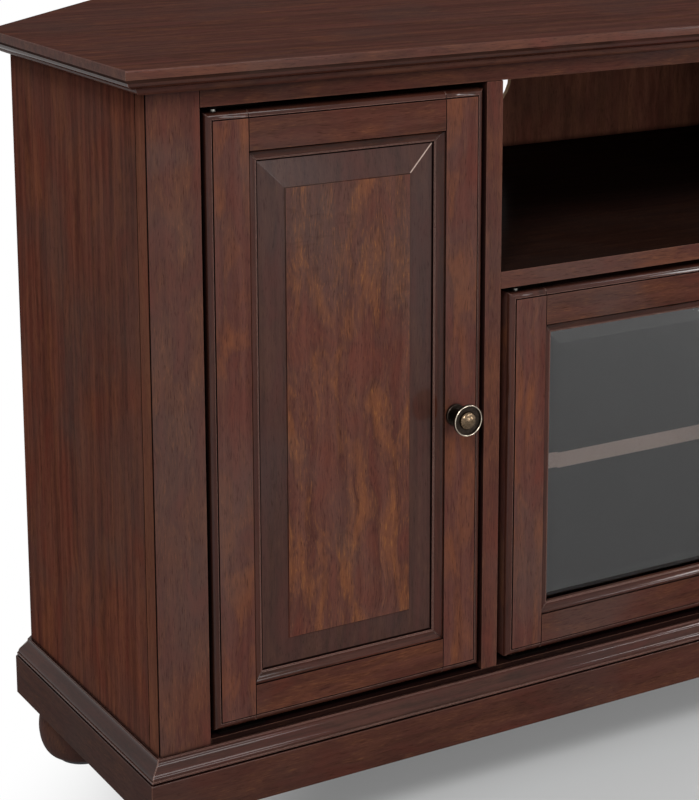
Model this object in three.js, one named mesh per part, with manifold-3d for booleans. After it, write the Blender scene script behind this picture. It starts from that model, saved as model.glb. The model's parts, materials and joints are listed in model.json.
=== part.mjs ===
// Corner television cabinet in mahogany-stained veneer, with two raised-panel doors, two bevelled
// glass doors below an open bay, and bun feet. Millimetres, +Z up, front towards -Y.
import * as THREE from 'three';
import { mergeVertices } from 'three/addons/utils/BufferGeometryUtils.js';
import Module from 'manifold-3d';

const wasm = await Module();
wasm.setup();

// Overall case
const bodyWidth = 1169;
const caseDepth = 459;
const clipRun = 204;
const overallHeight = 625;
const footHeight = 59;
const clipAngle = THREE.MathUtils.degToRad(45);

// Boards
const panelThickness = 14.5;
const frameThickness = 17;
const backThickness = 6;
const shelfThickness = 13.5;
const stileWidth = 42.5;
const railDrop = 13;

// Gap left in every glued or screwed joint, and the overrun of every cutting shape
const seat = 0.25;
const overrun = 2;

// Top board and its moulded edge
const topThickness = 21;
const topOverhang = 24.5;
const topBackReach = 6;
const topArrisRadius = 1.2;
const topEdgeHeight = 7;
const topCoveReach = 10;
const topCoveDrop = 5.5;
const topCoveLip = 2.5;
const topBeadReach = 7;
const topBeadLip = 1;

// Plinth boards with their cap moulding
const plinthThickness = 12.4;
const plinthCapHeight = 15;
const plinthTopGap = 4.5;
const plinthLandWidth = 2.2;
const plinthArris = 0.8;
const plinthQuirkDepth = 1;
const plinthFilletHeight = 1.6;
const plinthFilletWidth = 2;
const plinthBackThickness = 14.5;

// Bays
const sideBayWidth = 270.5;
const openBayHeight = 151;
const lowerShelfRise = 157;
const shelfSetback = 35;
const shelfClearance = 1;
const deckTop = 112;
const cableHoleRadius = 32;
const openBayHoleDrop = 112;
const lowerBayHoleDrop = 285;

// Doors
const doorThickness = 18;
const doorBottomGap = 4.3;
const sideDoorTopGap = 4.8;
const glassDoorTopGap = 5.2;
const sideDoorHingeGap = 3.9;
const glassDoorHingeGap = 9.5;
const sideDoorFreeGap = 2;
const glassDoorMeetingGap = 2;
const doorStileFace = 34.5;
const doorRailFace = 30;
const stickingWidth = 8;
const stickingDepth = 5;
const stickingStep = 0.8;
const stickingFillet = 1;
const beadWidth = 5.2;
const beadDepth = 4.6;
const beadCrown = 0.5;
const quirkWidth = 1;
const quirkDepth = 1.6;

// Raised panels
const tongueThickness = 5;
const tongueReach = 7;
const panelDepth = 6.2;
const panelBevelWidth = 22;
const panelBevelRise = 3.8;
const panelShoulder = 0.8;
const panelShoulderWidth = 0.5;

// Glass panes, held in the same kind of groove as the panels
const glassThickness = 4;
const glassReach = 7;
const glassDepth = 9;
const glassBevelWidth = 12;
const glassBevelFall = 2;

// Knobs
const knobRadius = 12.6;
const knobRimWidth = 1.2;
const knobCupDepth = 3;
const knobReach = 22.5;
const knobDomeRadius = 7.4;
const knobDomeRise = 3.5;
const knobNeckRadius = 5.5;
const knobBaseRadius = 8.5;
const knobBaseHeight = 2.2;
const knobEdgeDistance = 25;
const sideKnobDrop = 294;
const glassKnobDrop = 349;

// Pivot hinges
const pivotInset = 10;
const pivotRadius = 2.4;
const pivotClearance = 0.3;
const pivotDepth = 9;
const pivotPlateLength = 34;
const pivotPlateWidth = 12;
const pivotPlateThickness = 1.4;
const pivotWasherRadius = 4.6;
const pivotEndGap = 1;

// Magnetic catches
const catchLength = 44;
const catchWidth = 13;
const catchDepth = 15;
const catchPoleHeight = 1.2;
const catchPoleThickness = 1.2;
const catchOffset = 34;
const strikeWidth = 11;
const strikeThickness = 1.2;
const strikeEdgeDistance = 3;
const catchAir = 0.4;

// Shelf pins, fixed in their panels, and the spare holes above and below them
const pinRadius = 2.5;
const pinSeatDepth = 8;
const pinReach = 9;
const pinCollarRadius = 4.2;
const pinCollarThickness = 1.4;
const pinRowSetback = 45;
const pinRowBackMargin = 25;
const pinPitch = 32;
const pinHoleClearance = 0.3;

// Bun feet and the blocks they screw into
const footRadius = 37.5;
const footInset = 38;
const footNeckRadius = 22;
const footNeckHeight = 5;
const footFlatRadius = 25;
const glideRadius = 23;
const glideHeight = 4;
const footStudRadius = 4;
const footStudLength = 24;
const footStudClearance = 0.3;
const blockHalfWidth = 36;

// Facets of round forms
const knobSides = 18;
const footSides = 20;
const smallSides = 8;
const pivotSides = 12;
const holeSides = 24;
const curveSteps = 6;
const arrisSteps = 3;
const spareHoleRows = [-1, 1];

// Derived lines of the case
const halfWidth = bodyWidth / 2;
const topUnderside = overallHeight - topThickness;
const railBottom = topUnderside - railDrop;
const sideInner = halfWidth - panelThickness;
const stileInner = halfWidth - stileWidth;
const backInner = caseDepth - backThickness;
const centreHalf = sideInner - sideBayWidth - panelThickness;
const dividerOuter = centreHalf + panelThickness;
const deckBottom = deckTop - panelThickness;
const plinthTop = deckTop - plinthTopGap;
const openShelfTop = railBottom - openBayHeight;
const openShelfBottom = openShelfTop - shelfThickness;
const lowerShelfTop = deckTop + lowerShelfRise;
const lowerShelfBottom = lowerShelfTop - shelfThickness;
const doorBottom = deckTop + doorBottomGap;
const sideDoorHeight = railBottom - sideDoorTopGap - doorBottom;
const glassDoorHeight = openShelfBottom - glassDoorTopGap - doorBottom;
const sideDoorWidth = stileInner - dividerOuter - sideDoorHingeGap - sideDoorFreeGap;
const glassDoorWidth = centreHalf - glassDoorHingeGap - glassDoorMeetingGap / 2;

// Each clip takes the same run off the back of the case, and off its side by its angle
const sideDepth = caseDepth - clipRun / Math.tan(clipAngle);
const clipNormal = new THREE.Vector2(Math.cos(clipAngle), Math.sin(clipAngle));

// Distance along the clip's outward normal from the origin to its outer face
const clipDistance = clipNormal.dot(new THREE.Vector2(halfWidth, sideDepth));

/** X of the right-hand clip face at a depth, moved out along its normal by an offset. */
function clipX(y, offset = 0) {
  return (clipDistance + offset - clipNormal.y * y) / clipNormal.x;
}

/** Depth of the right-hand clip face at an X, moved out along its normal by an offset. */
function clipY(x, offset = 0) {
  return (clipDistance + offset - clipNormal.x * x) / clipNormal.y;
}

// Finishes
const finish = (color, roughness, metalness = 0) =>
  new THREE.MeshStandardMaterial({ color, roughness, metalness });
const mahogany = finish(0x4a2319, 0.38);
const mahoganyPanel = finish(0x5a2c1d, 0.36);
const rawShelf = finish(0x6b4a38, 0.6);
const glassFinish = new THREE.MeshStandardMaterial({
  color: 0x6f7674, roughness: 0.08, metalness: 0, transparent: true, opacity: 0.4,
});
const agedBrass = finish(0x6e5a3c, 0.35, 1);
const darkSteel = finish(0x2b2a29, 0.45, 1);

// Solids
const cabinet = new THREE.Group();

/** Adds a geometry to a group as a named mesh at a place. */
function addMesh(name, geometry, material, place = [0, 0, 0], group = cabinet) {
  const mesh = new THREE.Mesh(geometry, material);
  mesh.name = name;
  mesh.position.set(...place);
  group.add(mesh);
  return mesh;
}

/** Six times the volume of a closed mesh, negative when its faces point inwards. */
function signedVolume(positions, indices) {
  const [a, b, c] = [new THREE.Vector3(), new THREE.Vector3(), new THREE.Vector3()];
  let total = 0;
  for (let i = 0; i < indices.length; i += 3) {
    a.fromArray(positions, 3 * indices[i]);
    b.fromArray(positions, 3 * indices[i + 1]);
    c.fromArray(positions, 3 * indices[i + 2]);
    total += a.dot(b.cross(c));
  }
  return total;
}

/** Skins a closed solid through rings of points; an outline caps the ends, none joins them. */
function loft(rings, outline = null) {
  const count = rings[0].length;
  const positions = rings.flat().flatMap((point) => point.toArray());
  const indices = [];
  const spans = outline ? rings.length - 1 : rings.length;
  for (let ring = 0; ring < spans; ring += 1) {
    const here = ring * count;
    const next = ((ring + 1) % rings.length) * count;
    for (let point = 0; point < count; point += 1) {
      const after = (point + 1) % count;
      indices.push(here + point, here + after, next + after);
      indices.push(here + point, next + after, next + point);
    }
  }
  if (outline) {
    const last = (rings.length - 1) * count;
    // The side faces run with the ring, so the near cap runs against it and the far cap with it
    const clockwise = THREE.ShapeUtils.isClockWise(outline);
    for (const [i, j, k] of THREE.ShapeUtils.triangulateShape(outline, [])) {
      const [p, q, r] = clockwise ? [i, k, j] : [i, j, k];
      const along = new THREE.Vector2().subVectors(outline[q], outline[p]);
      const across = new THREE.Vector2().subVectors(outline[r], outline[p]);
      const flip = along.cross(across) < 0 !== clockwise;
      const face = flip ? [p, r, q] : [p, q, r];
      indices.push(face[0], face[2], face[1]);
      indices.push(last + face[0], last + face[1], last + face[2]);
    }
  }
  if (signedVolume(positions, indices) < 0) {
    indices.reverse();
  }
  const geometry = new THREE.BufferGeometry();
  geometry.setAttribute('position', new THREE.Float32BufferAttribute(positions, 3));
  geometry.setIndex(indices);
  geometry.computeVertexNormals();
  return geometry;
}

/** Box between two opposite corners, in either order. */
function box(xs, ys, zs) {
  const spans = [xs, ys, zs].map(([from, to]) => [Math.min(from, to), Math.max(from, to)]);
  const [width, depth, height] = spans.map(([low, high]) => high - low);
  const middle = spans.map(([low, high]) => (low + high) / 2);
  return new THREE.BoxGeometry(width, depth, height).translate(...middle);
}

/** Board whose outline is seen from above, between two heights. */
function boardFromAbove(points, bottom, top) {
  const shape = new THREE.Shape(points.map(([x, y]) => new THREE.Vector2(x, y)));
  const settings = { depth: top - bottom, bevelEnabled: false };
  return new THREE.ExtrudeGeometry(shape, settings).translate(0, 0, bottom);
}

/** Board whose outline is seen from the front, between two depths. */
function boardFromFront(points, front, back) {
  const shape = new THREE.Shape(points.map(([x, z]) => new THREE.Vector2(x, z)));
  const settings = { depth: back - front, bevelEnabled: false };
  return new THREE.ExtrudeGeometry(shape, settings).rotateX(Math.PI / 2).translate(0, back, 0);
}

/** Board whose outline is seen from the right side, between two widths. */
function boardFromSide(points, left, right) {
  const shape = new THREE.Shape(points.map(([y, z]) => new THREE.Vector2(y, z)));
  const settings = { depth: right - left, bevelEnabled: false };
  const turn = new THREE.Matrix4().makeBasis(
    new THREE.Vector3(0, 1, 0), new THREE.Vector3(0, 0, 1), new THREE.Vector3(1, 0, 0),
  );
  return new THREE.ExtrudeGeometry(shape, settings).applyMatrix4(turn).translate(left, 0, 0);
}

/** Upright cylinder standing on a height. */
function peg(radius, bottom, top, x, y, sides = smallSides) {
  const height = top - bottom;
  return new THREE.CylinderGeometry(radius, radius, height, sides)
    .rotateX(Math.PI / 2)
    .translate(x, y, bottom + height / 2);
}

/** Cylinder lying across the cabinet, with a flat facet on top. */
function crossPeg(radius, from, to, y, z, sides = smallSides) {
  const length = Math.abs(to - from);
  return new THREE.CylinderGeometry(radius, radius, length, sides)
    .rotateY(Math.PI / sides)
    .rotateZ(Math.PI / 2)
    .translate((from + to) / 2, y, z);
}

/** Closed geometry as a solid that can be cut and joined. */
function solidOf(geometry) {
  const bare = geometry.clone();
  bare.deleteAttribute('normal');
  bare.deleteAttribute('uv');
  const merged = mergeVertices(bare);
  return new wasm.Manifold(new wasm.Mesh({
    numProp: 3,
    vertProperties: merged.getAttribute('position').array,
    triVerts: Uint32Array.from(merged.getIndex().array),
  }));
}

/** Solid as a geometry. */
function geometryOf(solid) {
  const { vertProperties, triVerts } = solid.getMesh();
  const geometry = new THREE.BufferGeometry();
  geometry.setAttribute('position', new THREE.BufferAttribute(vertProperties, 3));
  geometry.setIndex(new THREE.BufferAttribute(triVerts, 1));
  const flat = geometry.toNonIndexed();
  flat.computeVertexNormals();
  return flat;
}

/** Geometry with others cut away from it. */
function cut(geometry, cutters) {
  const solid = cutters.reduce((left, cutter) => left.subtract(solidOf(cutter)), solidOf(geometry));
  return geometryOf(solid);
}

/** Geometries joined into one solid. */
function joined(geometries) {
  const [first, ...rest] = geometries.map(solidOf);
  return geometryOf(rest.reduce((whole, part) => whole.add(part), first));
}

/** Right-hand points followed by their mirror images, as one outline. */
function mirroredOutline(points) {
  const left = points.map(([x, y]) => [-x, y]).reverse();
  return [...points, ...left];
}

/** Quarter turn of an ellipse between two corners of its box, bulging towards the first axis. */
function quarterCurve(start, end, steps = curveSteps, bulgeFirst = true) {
  const points = [];
  for (let step = 0; step <= steps; step += 1) {
    const turn = (Math.PI / 2) * (step / steps);
    const [fast, slow] = [Math.sin(turn), 1 - Math.cos(turn)];
    const [across, along] = bulgeFirst ? [fast, slow] : [slow, fast];
    points.push([
      start[0] + (end[0] - start[0]) * across,
      start[1] + (end[1] - start[1]) * along,
    ]);
  }
  return points;
}

/** S-shaped curve between two points that leaves and meets them along the second axis. */
function ogee(start, end, steps = 2 * curveSteps) {
  const points = [];
  for (let step = 0; step <= steps; step += 1) {
    const share = step / steps;
    const eased = share - Math.sin(2 * Math.PI * share) / (2 * Math.PI);
    points.push([
      start[0] + (end[0] - start[0]) * eased,
      start[1] + (end[1] - start[1]) * share,
    ]);
  }
  return points;
}

/** Rectangle of four points at a depth, grown outwards by an offset from a sight rectangle. */
function rectangleRing({ left, right, bottom, top }, offset, depth) {
  return [
    new THREE.Vector3(left - offset, depth, bottom - offset),
    new THREE.Vector3(right + offset, depth, bottom - offset),
    new THREE.Vector3(right + offset, depth, top + offset),
    new THREE.Vector3(left - offset, depth, top + offset),
  ];
}

/** Moulding section [offset, depth] carried round a rectangle with mitred corners. */
function mitredRing(rectangle, section) {
  return loft(section.map(([offset, depth]) => rectangleRing(rectangle, offset, depth)));
}

/** Flat-cornered slab whose rectangle changes from level to level, [offset, depth]. */
function steppedSlab(rectangle, levels) {
  const { left, right, bottom, top } = rectangle;
  const outline = [[left, bottom], [right, bottom], [right, top], [left, top]];
  return loft(
    levels.map(([offset, depth]) => rectangleRing(rectangle, offset, depth)),
    outline.map(([x, z]) => new THREE.Vector2(x, z)),
  );
}

/** Straight moulded board between two plan points, each end cut along its own direction. */
function mouldedBoard(start, end, startSlope, endSlope, section) {
  const ringAt = (corner, slope) => section.map(([out, z]) => new THREE.Vector3(
    corner[0] + slope[0] * out, corner[1] + slope[1] * out, z,
  ));
  return loft(
    [ringAt(start, startSlope), ringAt(end, endSlope)],
    section.map(([out, z]) => new THREE.Vector2(out, z)),
  );
}

// Top board: one outline carried down through the levels of its moulded edge
function buildTop() {
  const edgeBottom = overallHeight - topEdgeHeight;
  const coveStart = [topCoveLip, edgeBottom - topCoveLip];
  const coveEnd = [topCoveLip + topCoveReach, edgeBottom - topCoveLip - topCoveDrop];
  const beadStart = [coveEnd[0] + topBeadLip, coveEnd[1]];
  const beadEnd = [beadStart[0] + topBeadReach, topUnderside];
  const levels = [
    ...quarterCurve([topArrisRadius, overallHeight], [0, overallHeight - topArrisRadius], arrisSteps),
    [0, edgeBottom],
    ...quarterCurve(coveStart, coveEnd, curveSteps, false),
    ...quarterCurve(beadStart, beadEnd, curveSteps, false),
  ];
  const backEdge = caseDepth + topBackReach;
  const outlineAt = (inset) => {
    const side = halfWidth + topOverhang - inset;
    return mirroredOutline([
      [side, inset - topOverhang],
      [side, clipY(side, topBackReach)],
      [clipX(backEdge, topBackReach), backEdge],
    ]);
  };
  const rings = levels.map(([inset, z]) => (
    outlineAt(inset).map(([x, y]) => new THREE.Vector3(x, y, z))
  ));
  const cap = outlineAt(0).map(([x, y]) => new THREE.Vector2(x, y));
  addMesh('top_panel', loft(rings, cap), mahogany);
}

const pinColumns = [shelfSetback + pinRowSetback, sideDepth - pinRowBackMargin];
const pinHeight = lowerShelfBottom - seat - pinRadius;

/** Spare holes for shelf pins between two widths, above and below the pins in use. */
function spareHoles(from, to) {
  return pinColumns.flatMap((y) => spareHoleRows.map((row) => (
    crossPeg(pinRadius + pinHoleClearance, from, to, y, pinHeight + row * pinPitch)
  )));
}

/** Shelf pins standing out of a panel face, each with its collar; direction is the way they point. */
function shelfPins(face, direction) {
  const root = face - direction * pinSeatDepth;
  return pinColumns.flatMap((y) => [
    crossPeg(pinRadius, root, face + direction * pinReach, y, pinHeight),
    crossPeg(pinCollarRadius, root, face + direction * pinCollarThickness, y,
      pinHeight + pinRadius - pinCollarRadius),
  ]);
}

/** Magnetic catch as a case with two steel poles; each span runs from the face that carries it. */
function magneticCatch(spanAcross, layers) {
  const front = doorThickness + strikeThickness + catchAir;
  return [
    layers(0, catchWidth, front + catchPoleHeight, front + catchDepth, spanAcross),
    layers(0, catchPoleThickness, front, front + catchDepth, spanAcross),
    layers(catchWidth - catchPoleThickness, catchWidth, front, front + catchDepth, spanAcross),
  ];
}

// Case: sides, clips, back, face frame, deck, dividers and shelves
function buildCase() {
  const top = topUnderside - seat;
  for (const [side, sign] of [['left', -1], ['right', 1]]) {
    const turn = (points) => points.map(([x, y]) => [sign * x, y]);
    const sidePanel = boardFromAbove(turn([
      [halfWidth, frameThickness + seat],
      [halfWidth, sideDepth],
      [sideInner, clipY(sideInner, -panelThickness)],
      [sideInner, frameThickness + seat],
    ]), footHeight, top);
    const drilledSide = cut(sidePanel, spareHoles(
      sign * (sideInner - overrun), sign * (sideInner + pinSeatDepth),
    ));
    addMesh(`side_panel_${side}`, joined([drilledSide, ...shelfPins(sign * sideInner, -sign)]), mahogany);

    const clipEnd = backInner - seat;
    addMesh(`clip_panel_${side}`, boardFromAbove(turn([
      [halfWidth - seat, clipY(halfWidth - seat)],
      [clipX(clipEnd), clipEnd],
      [clipX(clipEnd, -panelThickness), clipEnd],
      [sideInner - seat, clipY(sideInner - seat, -panelThickness)],
    ]), footHeight, top), mahogany);

    const stile = box([sign * stileInner, sign * halfWidth], [0, frameThickness], [footHeight, top]);
    addMesh(`face_stile_${side}`, stile, mahogany);

    const dividerFaces = [sign * centreHalf, sign * dividerOuter];
    const divider = boardFromSide([
      [0, deckTop + seat],
      [backInner - seat, deckTop + seat],
      [backInner - seat, top],
      [frameThickness + seat, top],
      [frameThickness + seat, railBottom - seat],
      [0, railBottom - seat],
    ], Math.min(...dividerFaces), Math.max(...dividerFaces));
    const drilledDivider = cut(divider, spareHoles(
      sign * (centreHalf - overrun), sign * (dividerOuter + overrun),
    ));
    const catchTop = railBottom - catchOffset;
    const sideCatch = magneticCatch([catchTop - catchLength, catchTop], (near, far, from, to, span) => box(
      [sign * (dividerOuter + (near || -overrun)), sign * (dividerOuter + far)], [from, to], span,
    ));
    addMesh(`divider_${side}`, joined([
      drilledDivider, ...shelfPins(sign * centreHalf, -sign), ...shelfPins(sign * dividerOuter, sign),
      ...sideCatch,
    ]), mahogany);

    const shelfOuter = sideInner - shelfClearance;
    const shelfBack = backInner - shelfClearance;
    const shelfClip = -panelThickness - shelfClearance;
    addMesh(`${side}_bay_shelf`, boardFromAbove(turn([
      [dividerOuter + shelfClearance, shelfSetback],
      [shelfOuter, shelfSetback],
      [shelfOuter, clipY(shelfOuter, shelfClip)],
      [clipX(shelfBack, shelfClip), shelfBack],
      [dividerOuter + shelfClearance, shelfBack],
    ]), lowerShelfBottom, lowerShelfTop), rawShelf);
  }

  const railHalf = stileInner - seat;
  const rail = box([-railHalf, railHalf], [0, frameThickness], [railBottom, top]);
  addMesh('top_rail', rail, mahogany);

  const deckSide = sideInner - seat;
  const deckClip = -panelThickness - seat;
  const deckBack = backInner - seat;
  const deck = boardFromAbove(mirroredOutline([
    [stileInner - seat, 0],
    [stileInner - seat, frameThickness + seat],
    [deckSide, frameThickness + seat],
    [deckSide, clipY(deckSide, deckClip)],
    [clipX(deckBack, deckClip), deckBack],
  ]), deckBottom, deckTop);
  addMesh('deck_panel', joined([deck, ...cornerBlocks()]), mahogany);

  const shelfHalf = centreHalf - seat;
  const mediaShelf = box([-shelfHalf, shelfHalf], [0, backInner - seat], [openShelfBottom, openShelfTop]);
  const catchMiddle = catchPoleThickness + glassDoorMeetingGap;
  const shelfCatches = [-1, 1].flatMap((sign) => magneticCatch(
    [sign * catchMiddle, sign * (catchMiddle + catchLength)],
    (near, far, from, to, span) => box(
      span, [from, to], [openShelfBottom - (near || -overrun), openShelfBottom - far],
    ),
  ));
  addMesh('media_shelf', joined([mediaShelf, ...shelfCatches]), mahogany);
  const looseHalf = centreHalf - shelfClearance;
  addMesh('centre_bay_shelf', box(
    [-looseHalf, looseHalf], [shelfSetback, backInner - shelfClearance], [lowerShelfBottom, lowerShelfTop],
  ), rawShelf);

  const back = boardFromAbove(mirroredOutline([
    [clipX(backInner), backInner],
    [clipX(caseDepth), caseDepth],
  ]), deckBottom, top);
  const holes = [openBayHoleDrop, lowerBayHoleDrop].map((drop) => (
    new THREE.CylinderGeometry(cableHoleRadius, cableHoleRadius, backThickness + 2 * overrun, holeSides)
      .translate(0, caseDepth - backThickness / 2, overallHeight - drop)
  ));
  addMesh('back_panel', cut(back, holes), mahogany);
}

// Plinth: mitred boards with a cap moulding round front, sides and clips, and a plain back board
function plinthSection() {
  const capBottom = plinthTop - plinthCapHeight;
  const filletTop = capBottom + plinthQuirkDepth + plinthFilletHeight;
  const ogeeStart = [plinthLandWidth + plinthArris, plinthTop - plinthArris];
  const ogeeEnd = [plinthThickness - plinthFilletWidth, filletTop];
  return [
    [seat, footHeight],
    [plinthThickness - plinthArris, footHeight],
    [plinthThickness, footHeight + plinthArris],
    [plinthThickness, capBottom - plinthArris],
    [plinthThickness - plinthArris, capBottom],
    [plinthThickness - plinthFilletWidth / 2, capBottom + plinthQuirkDepth],
    [plinthThickness - plinthFilletWidth / 2, filletTop],
    ...ogee(ogeeEnd, ogeeStart),
    [plinthLandWidth, plinthTop],
    [seat, plinthTop],
  ];
}

function buildPlinth() {
  const section = plinthSection();
  const clipSlope = Math.tan(clipAngle / 2);
  const along = [clipNormal.y, -clipNormal.x];
  addMesh('base_front', mouldedBoard(
    [seat / 2 - halfWidth, 0], [halfWidth - seat / 2, 0], [-1, -1], [1, -1], section,
  ), mahogany);
  for (const [side, sign] of [['left', -1], ['right', 1]]) {
    addMesh(`base_${side}`, mouldedBoard(
      [sign * halfWidth, seat / 2], [sign * halfWidth, sideDepth - seat / 2],
      [sign, -1], [sign, clipSlope], section,
    ), mahogany);
    const clipStart = halfWidth - clipNormal.y * seat / 2;
    const miterSlope = [clipNormal.x + along[0] * clipSlope, clipNormal.y + along[1] * clipSlope];
    const endSlope = [1 / clipNormal.x, 0];
    addMesh(`base_clip_${side}`, mouldedBoard(
      [sign * clipStart, clipY(clipStart)], [sign * clipX(caseDepth), caseDepth],
      [sign * miterSlope[0], miterSlope[1]], [sign * endSlope[0], endSlope[1]], section,
    ), mahogany);
  }
  const front = caseDepth - plinthBackThickness;
  addMesh('base_back', boardFromAbove(mirroredOutline([
    [clipX(front, -panelThickness - seat), front],
    [clipX(caseDepth, -panelThickness - seat), caseDepth],
  ]), footHeight, deckBottom - seat), mahogany);
}

// Feet: turned bun feet on threaded studs, each in a block glued under the deck
function footProfile() {
  const waist = (footHeight - footNeckHeight + glideHeight) / 2;
  const crown = [footNeckRadius, footHeight - footNeckHeight];
  return [
    [0, 0],
    [glideRadius, 0],
    [glideRadius, glideHeight],
    ...quarterCurve([footFlatRadius, glideHeight], [footRadius, waist]),
    ...quarterCurve([footRadius, waist], crown, curveSteps, false).slice(1),
    [footNeckRadius, footHeight - seat],
    [footStudRadius, footHeight - seat],
    [footStudRadius, footHeight + footStudLength],
    [0, footHeight + footStudLength],
  ];
}

function footPlaces() {
  const backY = caseDepth - footInset;
  return [
    ['front', halfWidth - footInset, footInset],
    ['side', halfWidth - footInset, clipY(halfWidth - footInset, -footInset)],
    ['back', clipX(backY, -footInset), backY],
  ];
}

/** Blocks glued under the deck at each foot, shaped by the case and bored for the foot's stud. */
function cornerBlocks() {
  const blockBack = caseDepth - plinthBackThickness - seat;
  const interior = boardFromAbove(mirroredOutline([
    [sideInner - seat, frameThickness + seat],
    [sideInner - seat, clipY(sideInner - seat, -panelThickness - seat)],
    [clipX(blockBack, -panelThickness - seat), blockBack],
  ]), footHeight, deckBottom + overrun);
  const boreTop = footHeight + footStudLength + footStudClearance;
  return [-1, 1].flatMap((sign) => footPlaces().map(([, x, y]) => {
    const block = box(
      [sign * x - blockHalfWidth, sign * x + blockHalfWidth],
      [y - blockHalfWidth, y + blockHalfWidth],
      [footHeight, deckBottom + overrun],
    );
    const bore = peg(
      footStudRadius + footStudClearance, footHeight - overrun, boreTop, sign * x, y, footSides / 2,
    );
    return geometryOf(solidOf(block).intersect(solidOf(interior)).subtract(solidOf(bore)));
  }));
}

function buildFeet() {
  const profile = footProfile().map(([radius, z]) => new THREE.Vector2(radius, z));
  for (const [side, sign] of [['left', -1], ['right', 1]]) {
    for (const [row, x, y] of footPlaces()) {
      const foot = new THREE.LatheGeometry(profile, footSides).rotateX(Math.PI / 2);
      addMesh(`${row}_${side}_foot`, foot, mahogany, [sign * x, y, 0]);
    }
  }
}

/** Case plate of a pivot hinge: a plate, its washer and the pin that enters the door. */
function casePivot(x, face, direction, side, doorFace) {
  const plateEnd = face + direction * pivotPlateThickness;
  const washerEnd = doorFace - direction * seat;
  const pinEnd = doorFace + direction * pivotDepth;
  const y = doorThickness / 2;
  const upright = (radius, from, to) => (
    peg(radius, Math.min(from, to), Math.max(from, to), x, y, pivotSides)
  );
  return joined([
    box([x - side * pivotPlateWidth / 2, x + side * pivotPlateLength],
      [y - pivotPlateWidth / 2, y + pivotPlateWidth / 2], [face, plateEnd]),
    upright(pivotWasherRadius, face, washerEnd),
    upright(pivotRadius, face, pinEnd),
  ]);
}

/** Knob: stepped base, neck, rimmed cup and dome, pointing to the front. */
function knobGeometry() {
  const cupFloor = knobReach - knobDomeRise;
  const rimInner = knobRadius - knobRimWidth;
  const cupBack = cupFloor - knobCupDepth;
  const neckStart = [knobNeckRadius, knobBaseHeight];
  const profile = [
    [0, seat],
    [knobBaseRadius, seat],
    [knobBaseRadius, knobBaseHeight],
    ...quarterCurve(neckStart, [knobRadius, cupBack + knobRimWidth], curveSteps, false),
    [knobRadius, cupFloor],
    [knobRadius - knobRimWidth / 2, cupFloor + knobRimWidth / 2],
    [rimInner, cupFloor],
    [rimInner, cupFloor - knobRimWidth],
    [knobDomeRadius, cupFloor - knobRimWidth],
    ...quarterCurve([knobDomeRadius, cupFloor - knobRimWidth], [0, knobReach], curveSteps, false).slice(1),
  ];
  const points = profile.map(([radius, reach]) => new THREE.Vector2(radius, reach));
  return new THREE.LatheGeometry(points, knobSides).rotateX(Math.PI);
}

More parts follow.
